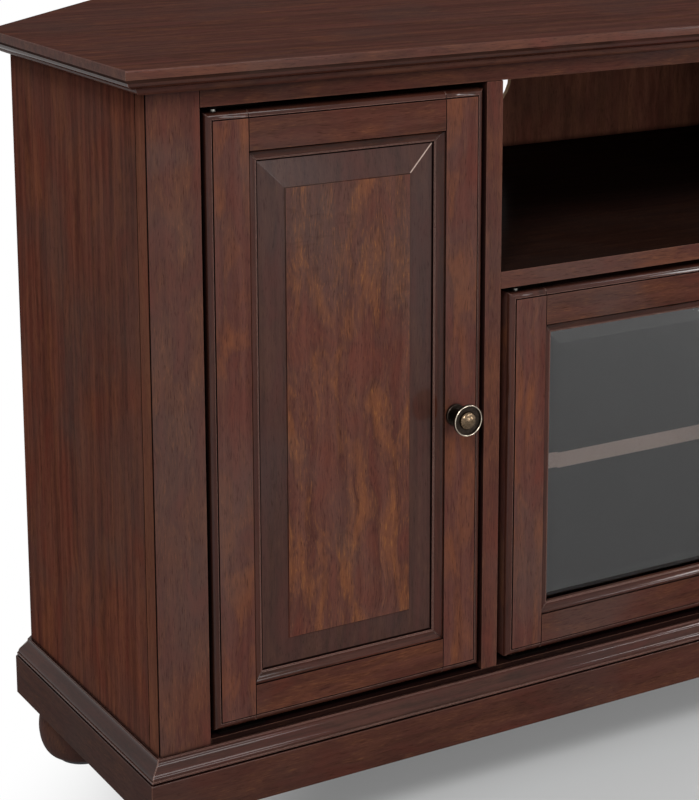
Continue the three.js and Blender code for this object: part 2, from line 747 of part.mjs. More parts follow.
/** One framed door, hung on the pins at its outer edge; side is the sign of its X. */
function buildDoor({ name, side, hingeEdge, width, height, caseTop, glazed, knobZ }) {
  const door = new THREE.Group();
  door.position.set(side * hingeEdge, 0, doorBottom);
  cabinet.add(door);
  // Widths run from the hinged edge towards the middle of the cabinet
  const across = (u) => -side * u;
  const border = { u: doorStileFace + stickingWidth, z: doorRailFace + stickingWidth };
  const spanOf = (from, to) => ({
    left: Math.min(across(from), across(to)),
    right: Math.max(across(from), across(to)),
  });
  const outer = { ...spanOf(0, width), bottom: 0, top: height };
  const sight = { ...spanOf(border.u, width - border.u), bottom: border.z, top: height - border.z };

  const edgeCutter = mitredRing(outer, [
    [overrun, -overrun],
    [overrun, beadDepth],
    [0, beadDepth],
    ...quarterCurve([0, beadDepth], [-beadWidth, beadCrown], curveSteps, false).slice(1),
    [-beadWidth, quirkDepth],
    [-beadWidth - quirkWidth, 0],
    [-beadWidth - quirkWidth, -overrun],
  ]);
  const stickingCutter = mitredRing(sight, [
    [-overrun, -overrun],
    [stickingWidth, -overrun],
    [stickingWidth, stickingStep],
    ...quarterCurve([stickingWidth - stickingFillet / 2, stickingStep],
      [stickingFillet, stickingDepth - stickingFillet / 2], curveSteps, false),
    [stickingFillet, stickingDepth],
    [-overrun, stickingDepth],
  ]);
  const grooveClear = 2 * seat;
  const fill = glazed
    ? { reach: glassReach, front: glassDepth, thickness: glassThickness }
    : { reach: tongueReach, front: panelDepth, thickness: tongueThickness };
  const grooveFloor = fill.reach + grooveClear;
  const grooveBack = fill.front + fill.thickness + 2 * seat;
  const seatCutter = mitredRing(sight, [
    [-overrun, fill.front], [grooveFloor, fill.front], [grooveFloor, grooveBack], [-overrun, grooveBack],
  ]);
  const frameCutters = [edgeCutter, stickingCutter, seatCutter];

  // Pivot bores in both ends of the hinge stile
  const pivotX = across(pivotInset);
  const pivotY = doorThickness / 2;
  const boreRadius = pivotRadius + pivotClearance;
  const boreEnd = pivotDepth + pivotEndGap;
  const hingeCutters = [
    peg(boreRadius, -overrun, boreEnd, pivotX, pivotY, pivotSides),
    peg(boreRadius, height - boreEnd, height + overrun, pivotX, pivotY, pivotSides),
  ];
  // Steel strike plate on the back of the latch stile, in line with the catch
  const strikeOuter = width - strikeEdgeDistance;
  const strikeLength = doorStileFace - 2 * strikeEdgeDistance;
  const strikeTop = glazed ? height - strikeEdgeDistance : caseTop - catchOffset - doorBottom;
  const [strikeAcross, strikeDown] = glazed ? [strikeLength, strikeWidth] : [strikeWidth, strikeLength];
  const strike = box(
    [across(strikeOuter), across(strikeOuter - strikeAcross)],
    [doorThickness - overrun, doorThickness + strikeThickness], [strikeTop - strikeDown, strikeTop],
  );

  const stileOutline = (mirror) => [
    [0, 0], [doorStileFace, 0], [doorStileFace, doorRailFace],
    [border.u, border.z], [border.u, height - border.z],
    [doorStileFace, height - doorRailFace], [doorStileFace, height], [0, height],
  ].map(([u, z]) => [across(mirror ? width - u : u), z]);
  const stile = (mirror) => boardFromFront(stileOutline(mirror), 0, doorThickness);
  addMesh(`${name}_hinge_stile`, cut(stile(false), [...frameCutters, ...hingeCutters]),
    mahoganyPanel, [0, 0, 0], door);
  addMesh(`${name}_latch_stile`, joined([cut(stile(true), frameCutters), strike]),
    mahoganyPanel, [0, 0, 0], door);

  const railOutline = (mirror) => [
    [doorStileFace + seat, 0], [width - doorStileFace - seat, 0],
    [width - doorStileFace - seat, doorRailFace],
    [width - border.u - seat, border.z], [border.u + seat, border.z],
    [doorStileFace + seat, doorRailFace],
  ].map(([u, z]) => [across(u), mirror ? height - z : z]);
  for (const [place, mirror] of [['bottom', false], ['top', true]]) {
    const rail = boardFromFront(railOutline(mirror), 0, doorThickness);
    addMesh(`${name}_${place}_rail`, cut(rail, frameCutters), mahoganyPanel, [0, 0, 0], door);
  }

  if (glazed) {
    const front = glassDepth + seat;
    const back = front + glassThickness;
    addMesh(`${name}_pane`, steppedSlab(sight, [
      [glassReach, back],
      [glassReach, front + glassBevelFall],
      [0, front + glassBevelFall],
      [-glassBevelWidth, front],
    ]), glassFinish, [0, 0, 0], door);
  } else {
    const tongueFront = panelDepth + seat;
    const bevelTop = tongueFront - panelBevelRise + panelShoulder;
    addMesh(`${name}_panel`, steppedSlab(sight, [
      [tongueReach, tongueFront + tongueThickness],
      [tongueReach, tongueFront],
      [0, tongueFront],
      [-panelBevelWidth, bevelTop],
      [-panelBevelWidth - panelShoulderWidth, bevelTop - panelShoulder],
    ]), mahoganyPanel, [0, 0, 0], door);
  }

  const knobPlace = [across(width - knobEdgeDistance), 0, knobZ - doorBottom];
  addMesh(`${name}_knob`, knobGeometry(), agedBrass, knobPlace, door);

  const pinX = side * hingeEdge + pivotX;
  const lowerPivot = casePivot(pinX, deckTop + seat, 1, -side, doorBottom);
  const upperPivot = casePivot(pinX, caseTop - seat, -1, -side, doorBottom + height);
  addMesh(`${name}_lower_pivot`, lowerPivot, darkSteel);
  addMesh(`${name}_upper_pivot`, upperPivot, darkSteel);
}

function buildDoors() {
  for (const [word, side] of [['left', -1], ['right', 1]]) {
    buildDoor({
      name: `${word}_door`, side, glazed: false,
      hingeEdge: stileInner - sideDoorHingeGap, width: sideDoorWidth, height: sideDoorHeight,
      caseTop: railBottom, knobZ: overallHeight - sideKnobDrop,
    });
    buildDoor({
      name: `${word}_glass_door`, side, glazed: true,
      hingeEdge: centreHalf - glassDoorHingeGap, width: glassDoorWidth, height: glassDoorHeight,
      caseTop: openShelfBottom, knobZ: overallHeight - glassKnobDrop,
    });
  }
}

buildTop();
buildCase();
buildPlinth();
buildFeet();
buildDoors();

// The frame's origin is under the middle of the whole cabinet
const part = new THREE.Group();
cabinet.position.y = (topOverhang - caseDepth - topBackReach) / 2;
part.add(cabinet);

export default part;
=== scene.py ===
"""Finished corner television cabinet: mahogany-faced boards, framed doors, smoked glass and brass knobs."""

import json
import logging
import math
import random
from dataclasses import dataclass
from enum import Enum
from itertools import pairwise
from typing import Callable, Iterable, Sequence

import bmesh
import bpy
from mathutils import Euler, Matrix, Vector


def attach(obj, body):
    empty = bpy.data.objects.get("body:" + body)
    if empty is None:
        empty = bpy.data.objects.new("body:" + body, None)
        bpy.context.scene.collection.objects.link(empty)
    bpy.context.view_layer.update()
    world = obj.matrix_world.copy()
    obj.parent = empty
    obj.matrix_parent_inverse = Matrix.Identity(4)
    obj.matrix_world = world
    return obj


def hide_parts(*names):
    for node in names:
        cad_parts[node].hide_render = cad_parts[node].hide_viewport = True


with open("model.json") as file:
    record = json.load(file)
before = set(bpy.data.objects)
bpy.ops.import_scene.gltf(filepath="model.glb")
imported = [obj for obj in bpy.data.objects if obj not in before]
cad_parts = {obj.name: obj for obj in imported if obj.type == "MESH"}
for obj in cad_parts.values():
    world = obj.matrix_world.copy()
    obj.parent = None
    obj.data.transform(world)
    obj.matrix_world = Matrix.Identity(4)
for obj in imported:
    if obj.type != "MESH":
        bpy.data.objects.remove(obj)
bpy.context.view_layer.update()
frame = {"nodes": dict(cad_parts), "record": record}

log = logging.getLogger("corner_cabinet")

Point = tuple[float, float, float]
Pair = tuple[float, float]
FaceTest = Callable[[Vector, Vector], bool]

# Every size of the cabinet below is in millimetres, and this turns it into metres
MM = 0.001
# Millimetres from the case's front face back to the middle of the whole cabinet
FRONT_TO_MIDDLE = 220.25
# Slack in millimetres of a test on where a face lies
NEAR = 0.05
# Share of a unit normal past which a face counts as looking that way
FACING = 0.9
# Share of a unit normal past which a face counts as slanting that way
SLANTED = 0.2
# Facets round a turned piece that shows
FACETS = 64
# Sockets of a colour Mix node: its share, the colour under, the colour over, and what comes out
SHARE, UNDER, OVER, MIXED = 0, 6, 7, 2

BODY_OF = {node: body for body, nodes in frame["record"]["behaviour"]["bodies"].items() for node in nodes}


class Side(Enum):
    """Left or right of the cabinet's middle plane, as the sign of X."""

    LEFT = -1
    RIGHT = 1

    @property
    def word(self) -> str:
        """Name of the side as the parts spell it."""
        return self.name.lower()


class Grain(Enum):
    """Way the grain runs, as the turn that brings the pattern's long axis onto it, in degrees."""

    UPRIGHT = (0, 0, 0)
    ACROSS = (0, 90, 0)
    DEEP = (0, 90, 90)
    LEFT_CLIP = (0, 90, 45)
    RIGHT_CLIP = (0, 90, -45)

    @property
    def turn(self) -> Euler:
        """The turn in radians."""
        return Euler([math.radians(angle) for angle in self.value])


def place(x: float, y: float, z: float) -> Vector:
    """Turn a point measured in millimetres from the case's front into frame metres.

    Args:
        x: Distance right of the middle plane.
        y: Distance behind the case's front face.
        z: Height above the floor.

    Returns:
        The point in the frame, in metres.
    """
    return Vector((x * MM, (y - FRONT_TO_MIDDLE) * MM, z * MM))


def linear(hex_colour: str) -> tuple[float, float, float, float]:
    """Turn an sRGB hex colour into linear RGBA.

    Args:
        hex_colour: Colour as "#rrggbb".

    Returns:
        The linear colour with full alpha.
    """
    channels = [int(hex_colour[i:i + 2], 16) / 255 for i in (1, 3, 5)]
    red, green, blue = [c / 12.92 if c <= 0.04045 else ((c + 0.055) / 1.055) ** 2.4 for c in channels]
    return red, green, blue, 1.0


def add_node(tree: bpy.types.NodeTree, kind: str, inputs: dict | None = None, **settings) -> bpy.types.Node:
    """Add one shader node with its settings, values and links.

    Args:
        tree: Node tree that takes the node.
        kind: Node type, without the words that every shader node's type starts with.
        inputs: Socket name or index to a value, to the output socket that feeds it, or to the node
            whose first output feeds it.
        **settings: Properties of the node itself.

    Returns:
        The new node.
    """
    node = tree.nodes.new(f"ShaderNode{kind}")
    for name, value in settings.items():
        setattr(node, name, value)
    for socket, value in (inputs or {}).items():
        if isinstance(value, bpy.types.Node):
            value = value.outputs[0]
        if isinstance(value, bpy.types.NodeSocket):
            tree.links.new(value, node.inputs[socket])
        else:
            node.inputs[socket].default_value = value
    return node


def rays_that_see_white(tree: bpy.types.NodeTree) -> bpy.types.Node:
    """Pick out the rays that meet a white studio: the camera's, and those off gloss and through glass.

    Args:
        tree: Node tree of the floor or the world.

    Returns:
        The node that gives 1 for such a ray and 0 for any other.
    """
    path = add_node(tree, "LightPath")
    seen = path.outputs["Is Camera Ray"]
    for kind in ("Is Glossy Ray", "Is Transmission Ray"):
        seen = add_node(tree, "Math", {0: seen, 1: path.outputs[kind]}, operation="MAXIMUM")
    return seen


def blank_material(title: str) -> tuple[bpy.types.Material, bpy.types.NodeTree]:
    """Start a material with an empty node tree.

    Args:
        title: Name of the material.

    Returns:
        The material and its tree.
    """
    material = bpy.data.materials.new(title)
    material.use_nodes = True
    material.node_tree.nodes.clear()
    return material, material.node_tree


def quarter(start: Pair, end: Pair, steps: int, bulge_first: bool = True) -> list[Pair]:
    """Quarter turn of an ellipse between two corners of its box.

    Args:
        start: First point, as two measures.
        end: Last point.
        steps: Straight pieces in the curve.
        bulge_first: Whether the first measure changes fastest at the start.

    Returns:
        The curve's points, both ends included.
    """
    points = []
    for step in range(steps + 1):
        turn = math.pi / 2 * step / steps
        fast, slow = math.sin(turn), 1 - math.cos(turn)
        first, second = (fast, slow) if bulge_first else (slow, fast)
        points.append((start[0] + (end[0] - start[0]) * first, start[1] + (end[1] - start[1]) * second))
    return points


def ogee(start: Pair, end: Pair, steps: int) -> list[Pair]:
    """S-shaped curve between two points that leaves and meets them along the second measure.

    Args:
        start: First point.
        end: Last point.
        steps: Straight pieces in the curve.

    Returns:
        The curve's points, both ends included.
    """
    points = []
    for step in range(steps + 1):
        share = step / steps
        eased = share - math.sin(2 * math.pi * share) / (2 * math.pi)
        points.append((start[0] + (end[0] - start[0]) * eased, start[1] + (end[1] - start[1]) * share))
    return points


def new_object(name: str, data: bpy.types.ID) -> bpy.types.Object:
    """Put a mesh, lamp or camera into the scene.

    Args:
        name: Name of the object.
        data: What it shows.

    Returns:
        The new object.
    """
    holder = bpy.data.objects.new(name, data)
    bpy.context.scene.collection.objects.link(holder)
    return holder


def is_upright_arris(normal: Vector) -> bool:
    """Whether a face slants between the front and a side, as an eased upright arris does."""
    return min(abs(normal.x), abs(normal.y)) > SLANTED


def clear_selection() -> None:
    """Deselect every object, so that an operator acts only on what it is meant for."""
    bpy.ops.object.select_all(action="DESELECT")


def make_active(piece: bpy.types.Object) -> None:
    """Select one object alone and make it the active one.

    Args:
        piece: Object to work on.
    """
    clear_selection()
    piece.select_set(True)
    bpy.context.view_layer.objects.active = piece


def shade(piece: bpy.types.Object, angle: float = 35) -> bpy.types.Object:
    """Smooth a piece's faces up to an angle and weight its normals by face size.

    Args:
        piece: Mesh object.
        angle: Steepest edge that is still smoothed, in degrees.

    Returns:
        The same piece.
    """
    make_active(piece)
    bpy.ops.object.shade_smooth_by_angle(angle=math.radians(angle))
    weighted = piece.modifiers.new("even shading", "WEIGHTED_NORMAL")
    weighted.keep_sharp = True
    bpy.ops.object.modifier_apply(modifier=weighted.name)
    return piece


def grow(name: str, rings: Sequence[Sequence[Vector]]) -> bpy.types.Object:
    """Model a closed solid by extruding a capped outline from ring to ring.

    Args:
        name: Name of the piece.
        rings: Outlines in metres with the same number of corners, from one end to the other.

    Returns:
        The new object, with its place in its mesh.
    """
    clear_selection()
    bpy.ops.mesh.primitive_circle_add(vertices=len(rings[0]), radius=MM, fill_type="NGON")
    piece = bpy.context.object
    piece.name = piece.data.name = name
    bpy.ops.object.mode_set(mode="EDIT")
    work = bmesh.from_edit_mesh(piece.data)
    for corner, point in zip(work.verts, rings[0]):
        corner.co = point
    bmesh.update_edit_mesh(piece.data)
    for before, ring in pairwise(rings):
        bpy.ops.mesh.extrude_region_move()
        work = bmesh.from_edit_mesh(piece.data)
        for corner in [vert for vert in work.verts if vert.select]:
            index = min(range(len(before)), key=lambda i: (corner.co - before[i]).length_squared)
            corner.co = ring[index]
        bmesh.update_edit_mesh(piece.data)
    bpy.ops.mesh.select_all(action="SELECT")
    bpy.ops.mesh.normals_make_consistent(inside=False)
    bpy.ops.object.mode_set(mode="OBJECT")
    return piece


def turn_on_lathe(name: str, profile: Sequence[Pair], sides: int, stand: Matrix) -> bpy.types.Object:
    """Model a turned piece from its profile.

    Args:
        name: Name of the piece.
        profile: Radius and reach along the axis in millimetres, each radius above nought.
        sides: Facets round the axis.
        stand: Matrix that carries the axis from +Z at the origin to its place.

    Returns:
        The new object.
    """
    angles = [2 * math.pi * (i + 0.5) / sides for i in range(sides)]
    rings = [
        [stand @ Vector((radius * MM * math.cos(a), radius * MM * math.sin(a), reach * MM)) for a in angles]
        for radius, reach in profile
    ]
    return grow(name, rings)


def bevel_edges(piece: bpy.types.Object, wanted: Callable[[bmesh.types.BMEdge], bool], width: float,
                segments: int = 2) -> None:
    """Round over the edges that a test picks.

    Args:
        piece: Mesh object.
        wanted: Test on an edge.
        width: Width of the round in millimetres.
        segments: Strips across the round.
    """
    make_active(piece)
    bpy.ops.object.mode_set(mode="EDIT")
    bpy.ops.mesh.select_mode(type="EDGE")
    bpy.ops.mesh.select_all(action="DESELECT")
    work = bmesh.from_edit_mesh(piece.data)
    for edge in work.edges:
        edge.select_set(wanted(edge))
    bmesh.update_edit_mesh(piece.data)
    bpy.ops.mesh.bevel(offset=width * MM, segments=segments, affect="EDGES", clamp_overlap=True)
    bpy.ops.mesh.select_mode(type="VERT")
    bpy.ops.object.mode_set(mode="OBJECT")


def soften(node: str, arris: float) -> bpy.types.Object:
    """Model a sawn board from its CAD solid with its arrises eased, as sanding leaves them.

    Args:
        node: CAD node that gives the board's form.
        arris: Width of the eased arris in millimetres.

    Returns:
        The new object, apart from the CAD node.
    """
    flattest, gentlest_eased = math.radians(0.4), math.radians(31)
    piece = new_object(f"{node}_finished", frame["nodes"][node].data.copy())
    make_active(piece)
    bpy.ops.mesh.customdata_custom_splitnormals_clear()
    bpy.ops.object.mode_set(mode="EDIT")
    bpy.ops.mesh.select_mode(type="EDGE")
    bpy.ops.mesh.select_all(action="SELECT")
    bpy.ops.mesh.remove_doubles(threshold=1e-6)
    bpy.ops.mesh.dissolve_limited(angle_limit=flattest)
    bpy.ops.mesh.select_all(action="DESELECT")
    bpy.ops.mesh.edges_select_sharp(sharpness=gentlest_eased)
    bpy.ops.mesh.bevel(offset=arris * MM, segments=2, affect="EDGES", clamp_overlap=True)
    bpy.ops.mesh.select_mode(type="VERT")
    bpy.ops.object.mode_set(mode="OBJECT")
    return piece


def join_pieces(pieces: Sequence[bpy.types.Object]) -> bpy.types.Object:
    """Join several objects into the first.

    Args:
        pieces: Mesh objects.

    Returns:
        The joined object.
    """
    clear_selection()
    for piece in pieces:
        piece.select_set(True)
    bpy.context.view_layer.objects.active = pieces[0]
    bpy.ops.object.join()
    return pieces[0]


def copy_to(piece: bpy.types.Object, name: str, stand: Matrix) -> bpy.types.Object:
    """Copy a piece with its own mesh to another place.

    Args:
        piece: Object to copy.
        name: Name of the copy.
        stand: Matrix that carries the first piece's mesh to the new place.

    Returns:
        The copy.
    """
    mesh = piece.data.copy()
    mesh.transform(stand)
    return new_object(name, mesh)


@dataclass(frozen=True)
class GlazedMahogany:
    """Mahogany-faced board, stained, wiped with a dark glaze, and lacquered satin, with glaze and painted shade drawn
    into its hollows.

    What the eye gets: a red-brown ground with straight darker streaks, a slow orange flame, short light
    and dark flecks, near-black lines in every joint and hollow, partly glaze and partly painted shade,
    arrises a little paler, as wear and as a painted highlight, and a soft sheen.
    """

    title: str
    heart: str = "#523129"
    stain: str = "#442924"
    flame: str = "#6f4630"
    blush: str = "#603229"
    pore: str = "#25130e"
    fleck: str = "#7d5234"
    # Near-black drawn where little open air reaches: glaze, and painted shade in the hollows
    glaze: str = "#110708"
    haze: str = "#4c3f3b"
    # Paler colour on the arrises: wear, and a painted highlight
    rubbed: str = "#8a6253"
    flame_share: float = 0.4
    blush_share: float = 0.45
    vein_share: float = 0.0
    haze_share: float = 0.45
    fleck_share: float = 0.28
    pore_share: float = 0.6
    rubbed_share: float = 0.4
    glaze_share: float = 0.94
    roughness: float = 0.42
    specular: float = 0.0
    coat: float = 0.07
    polish: float = 0.2
    # Width across the grain and length along it of each pattern's marks
    streak: Pair = (6, 170)
    figure: Pair = (17, 60)
    # Real pores are 0.2 mm wide; they are drawn four times that, so that they show
    fibre: Pair = (0.8, 9)
    ripple: Pair = (26, 5)
    # Waves of the grain are 42 mm across, and clouds of tone 125 mm
    drift_scale: float = 24
    cloud_scale: float = 8
    wander: float = 4.0
    pore_relief: float = 0.05
    glaze_reach: float = 7
    arris_reach: float = 0.9

    def material(self, piece: str, grain: Grain) -> bpy.types.Material:
        """Make the finish for one piece, cut from its own place in the veneer.

        Args:
            piece: Name of the piece, which seeds the place.
            grain: Way the grain runs.

        Returns:
            The material.
        """
        material, tree = blank_material(f"{self.title} {piece}")
        draw = random.Random(piece)
        coords = add_node(tree, "TexCoord").outputs["Object"]
        drift = add_node(tree, "TexNoise", {"Vector": coords, "Scale": self.drift_scale, "Detail": 1})
        centred = add_node(tree, "VectorMath", {0: drift.outputs[1], 1: (0.5, 0.5, 0.5)}, operation="SUBTRACT")
        wavy = add_node(tree, "VectorMath", {
            0: centred, 1: (self.wander * MM,) * 3, 2: coords}, operation="MULTIPLY_ADD")
        shift = [draw.uniform(-0.8, 0.8) for _ in range(3)]
        patterns = []
        for (across, along), detail, roughness, distortion in (
                (self.streak, 5, 0.6, 0.2), (self.figure, 3, 0.55, 0.7),
                (self.fibre, 2, 0.6, 0.5), (self.ripple, 2, 0.5, 1.2)):
            space = add_node(tree, "Mapping", {
                "Vector": wavy, "Location": shift, "Rotation": grain.turn,
                "Scale": (across * MM, across * MM, along * MM)}, vector_type="TEXTURE")
            patterns.append(add_node(tree, "TexNoise", {
                "Vector": space, "Scale": 1, "Detail": detail, "Roughness": roughness, "Distortion": distortion}))
        streak, figure, fibre, ripple = patterns
        cloud = add_node(tree, "TexNoise", {
            "Vector": coords, "Scale": self.cloud_scale, "Detail": 3, "Distortion": 0.4})
        streaked, patch, crest = (
            add_node(tree, "MapRange", {"Value": pattern, "From Min": low, "From Max": high, "To Max": share},
                     interpolation_type="SMOOTHSTEP")
            for pattern, low, high, share in (
                (streak, 0.3, 0.7, 1.0), (cloud, 0.48, 0.62, self.vein_share), (ripple, 0.57, 0.68, 1.0)))
        veined = add_node(tree, "Math", {0: patch, 1: crest}, operation="MULTIPLY")
        rich = add_node(tree, "MapRange", {
            "Value": figure, "From Min": 0.4, "From Max": 0.62, "To Min": 0.3, "To Max": 1.2})
        washes = []
        for pattern, low, high, share, tone in (
                (figure, 0.48, 0.72, self.flame_share, self.flame),
                (figure, 0.5, 0.3, self.blush_share, self.blush),
                (cloud, 0.45, 0.66, self.haze_share, self.haze),
                (fibre, 0.55, 0.74, self.fleck_share, self.fleck),
                (fibre, 0.44, 0.26, self.pore_share, self.pore)):
            amount = add_node(tree, "MapRange", {
                "Value": pattern, "From Min": low, "From Max": high, "To Max": share})
            if tone == self.fleck:
                amount = add_node(tree, "Math", {0: amount, 1: rich}, operation="MULTIPLY")
            washes.append((amount, tone))
        # An arris is where the normal, rounded over the arris's reach, leaves the face's own; there the colour turns
        # paler, as wear and as a painted highlight
        eased = add_node(tree, "Bevel", {"Radius": self.arris_reach * MM}, samples=4)
        flat = add_node(tree, "NewGeometry")
        turn = add_node(tree, "VectorMath", {0: eased, 1: flat.outputs["Normal"]}, operation="DOT_PRODUCT")
        worn_and_highlit = add_node(tree, "MapRange", {
            "Value": turn.outputs["Value"], "From Min": 0.985, "From Max": 0.85, "To Max": self.rubbed_share})
        # The glaze is drawn where little open air reaches, which also paints shade into every hollow
        open_air = add_node(tree, "AmbientOcclusion", {"Distance": self.glaze_reach * MM}, samples=6)
        glazed_and_shaded = add_node(tree, "MapRange", {
            "Value": open_air.outputs["AO"], "From Min": 0.88, "From Max": 0.4, "To Max": self.glaze_share})
        colour = add_node(tree, "Mix", {
            SHARE: streaked, UNDER: linear(self.stain), OVER: linear(self.heart)}, data_type="RGBA")
        for amount, tone in (*washes, (veined, self.pore), (worn_and_highlit, self.rubbed), (glazed_and_shaded, self.glaze)):
            colour = add_node(tree, "Mix", {
                SHARE: amount, UNDER: colour.outputs[MIXED], OVER: linear(tone)}, data_type="RGBA")
        sheen = add_node(tree, "MapRange", {
            "Value": fibre, "From Min": 0.3, "From Max": 0.75,
            "To Min": self.roughness - 0.05, "To Max": self.roughness + 0.09})
        relief = add_node(tree, "Bump", {"Height": fibre, "Strength": 0.3, "Distance": self.pore_relief * MM})
        shader = add_node(tree, "BsdfPrincipled", {
            "Base Color": colour.outputs[MIXED], "Roughness": sheen, "Normal": relief,
            "Specular IOR Level": self.specular, "Coat Weight": self.coat, "Coat Roughness": self.polish})
        add_node(tree, "OutputMaterial", {"Surface": shader})
        return material


@dataclass(frozen=True)
class PlainSolid:
    """Even material with a fine grit: colour clouds, a speckle and a little relief.

    What the eye gets: a surface that is one colour from afar and has its own grit close to.
    """

    title: str
    base: str
    mottle: str
    grit: float
    roughness: float
    metallic: float = 0.0
    relief: float = 0.02
    wear: str | None = None
    wear_reach: float = 2.5

    def material(self) -> bpy.types.Material:
        """Make the finish.

        Returns:
            The material.
        """
        material, tree = blank_material(self.title)
        coords = add_node(tree, "TexCoord").outputs["Object"]
        speck = add_node(tree, "TexNoise", {
            "Vector": coords, "Scale": 1 / (self.grit * MM), "Detail": 3, "Roughness": 0.6})
        share = add_node(tree, "MapRange", {"Value": speck, "From Min": 0.35, "From Max": 0.65})
        colour = add_node(tree, "Mix", {
            SHARE: share, UNDER: linear(self.base), OVER: linear(self.mottle)}, data_type="RGBA")
        sheen = add_node(tree, "MapRange", {
            "Value": speck, "To Min": max(0.05, self.roughness - 0.1), "To Max": self.roughness + 0.1})
        relief = add_node(tree, "Bump", {"Height": speck, "Strength": 0.3, "Distance": self.relief * MM})
        if self.wear:
            open_air = add_node(tree, "AmbientOcclusion", {"Distance": self.wear_reach * MM}, samples=6)
            hidden = add_node(tree, "MapRange", {
                "Value": open_air.outputs["AO"], "From Min": 0.95, "From Max": 0.45})
            colour = add_node(tree, "Mix", {
                SHARE: hidden, UNDER: colour.outputs[MIXED], OVER: linear(self.wear)}, data_type="RGBA")
        shader = add_node(tree, "BsdfPrincipled", {
            "Base Color": colour.outputs[MIXED], "Roughness": sheen, "Normal": relief, "Metallic": self.metallic})
        add_node(tree, "OutputMaterial", {"Surface": shader})
        return material


@dataclass(frozen=True)
class SmokedGlass:
    """Float glass with a grey body tint, polished, with polished bevels.

    What the eye gets: a dark pane that mirrors the room at a few percent and lets pale things through.
    """

    title: str = "smoked float glass"
    tint: str = "#b6b5b5"
    # Smears left by wiping are 70 mm across
    smear_scale: float = 14
    polish: Pair = (0.01, 0.05)
    ior: float = 1.5
    coat: float = 0.55
    coat_roughness: float = 0.03

    def material(self) -> bpy.types.Material:
        """Make the finish.

        Returns:
            The material.
        """
        material, tree = blank_material(self.title)
        coords = add_node(tree, "TexCoord").outputs["Object"]
        smear = add_node(tree, "TexNoise", {"Vector": coords, "Scale": self.smear_scale, "Detail": 4})
        polish = add_node(tree, "MapRange", {
            "Value": smear, "From Min": 0.3, "From Max": 0.8, "To Min": self.polish[0], "To Max": self.polish[1]})
        shader = add_node(tree, "BsdfPrincipled", {
            "Base Color": linear(self.tint), "Roughness": polish, "IOR": self.ior,
            "Transmission Weight": 1.0, "Coat Weight": self.coat, "Coat Roughness": self.coat_roughness})
        add_node(tree, "OutputMaterial", {"Surface": shader})
        return material


CASE_WOOD = GlazedMahogany("glazed mahogany veneer")
# Darker copy of the case wood for the top board: painted shade that takes back the overhead light
SHADED_TOP_WOOD = GlazedMahogany("glazed mahogany top veneer", heart="#4e2d25", stain="#371f19", flame="#5c3424",
                          blush="#522a22", haze="#3d2b27", fleck_share=0.25, flame_share=0.5, coat=0.02,
                          streak=(9, 300))
EDGE_WOOD = GlazedMahogany("glazed mahogany board edge", heart="#57352b", stain="#412721", flame="#684130",
                           fleck_share=0.2, coat=0.18, polish=0.12)
# Lighter copy of the case wood for the outer side panels: painted light
LIT_SIDE_WOOD = GlazedMahogany("glazed mahogany side veneer", heart="#6f4133", stain="#4b2b24", flame="#7f4a31",
                           blush="#693429", coat=0.0)
BASE_WOOD = GlazedMahogany("glazed mahogany plinth", heart="#482b24", stain="#3a231d", flame="#573526",
                           blush="#4c2720", haze="#3e2f2b", fleck_share=0.22)
# Darker copy of the framing wood for every rail: painted shade, as falls under the top's overhang
SHADED_RAIL_WOOD = GlazedMahogany("glazed mahogany rail", heart="#4d2d25", stain="#3a221c", flame="#653c28", blush="#552b22")
# Lighter copy of the wood for a corner stile's outer face: painted light
LIT_STRIP_WOOD = GlazedMahogany("glazed mahogany stile edge", heart="#724637", stain="#5c382c", flame="#7d4e36",
                            blush="#703f32", haze="#644438", fleck_share=0.2, coat=0.0)
DOOR_WOOD = GlazedMahogany("glazed mahogany framing", heart="#573730", stain="#472b26", flame="#75452b",
                            blush="#613229", flame_share=0.6)
PANEL_WOOD = GlazedMahogany("flamed mahogany panel veneer", heart="#573830", stain="#462b25", flame="#77482d",
                            blush="#613229", fleck="#875730", flame_share=0.7, vein_share=0.15, haze_share=0.55,
                            fleck_share=0.55, figure=(20, 75), fibre=(0.9, 9), wander=9.0)
# Mouldings take a strong pale colour on their arrises: wear, and a painted highlight
MOULDING_WOOD = GlazedMahogany("glazed mahogany moulding", heart="#43241c", stain="#2b1710", flame="#4e2b20",
                               blush="#481f18", haze="#35201c", fleck="#533325", glaze="#0d0605", coat=0.4,
                               polish=0.07, rubbed="#a98478", rubbed_share=0.6)
BEVEL_WOOD = GlazedMahogany("glazed mahogany panel bevel", heart="#442b25", stain="#36231e", flame="#503327",
                            blush="#4c2a24", haze="#3c3130", fleck="#553a2d", coat=0.32, polish=0.16)
# Dark wood for shoulders and lips: glaze, and painted shade on the step round a raised panel's field and under the
# top's square edge
GLAZE_AND_SHADE_SHOULDER_WOOD = GlazedMahogany("glaze left in a shoulder", heart="#38231c", stain="#2c1b16", flame="#40281f",
                               fleck_share=0.0, rubbed_share=0.0, coat=0.02)
# Near-black for lines: glaze at joints, painted shade in quirks, grooves and steps, a painted shadow line round a
# raised panel, and a painted dark reflection on a corner stile's front arris
GLAZE_AND_SHADE_LINE_WOOD = GlazedMahogany("glaze left in a quirk", heart="#160b08", stain="#100807", flame="#1c0f0b",
                            blush="#180c09", haze="#140d0b", fleck_share=0.0, rubbed_share=0.0, coat=0.0)
# Pale glossy wood that paints a highlight: the glint on the top's front corners and on each raised panel's upper
# right mitre
PAINTED_HIGHLIGHT_WOOD = GlazedMahogany("arris rubbed through the glaze", heart="#b0968a", stain="#9c8377", flame="#b59b8e",
                            blush="#a98c7f", haze="#a89a90", fleck_share=0.0, rubbed_share=0.0, coat=0.7, polish=0.1)
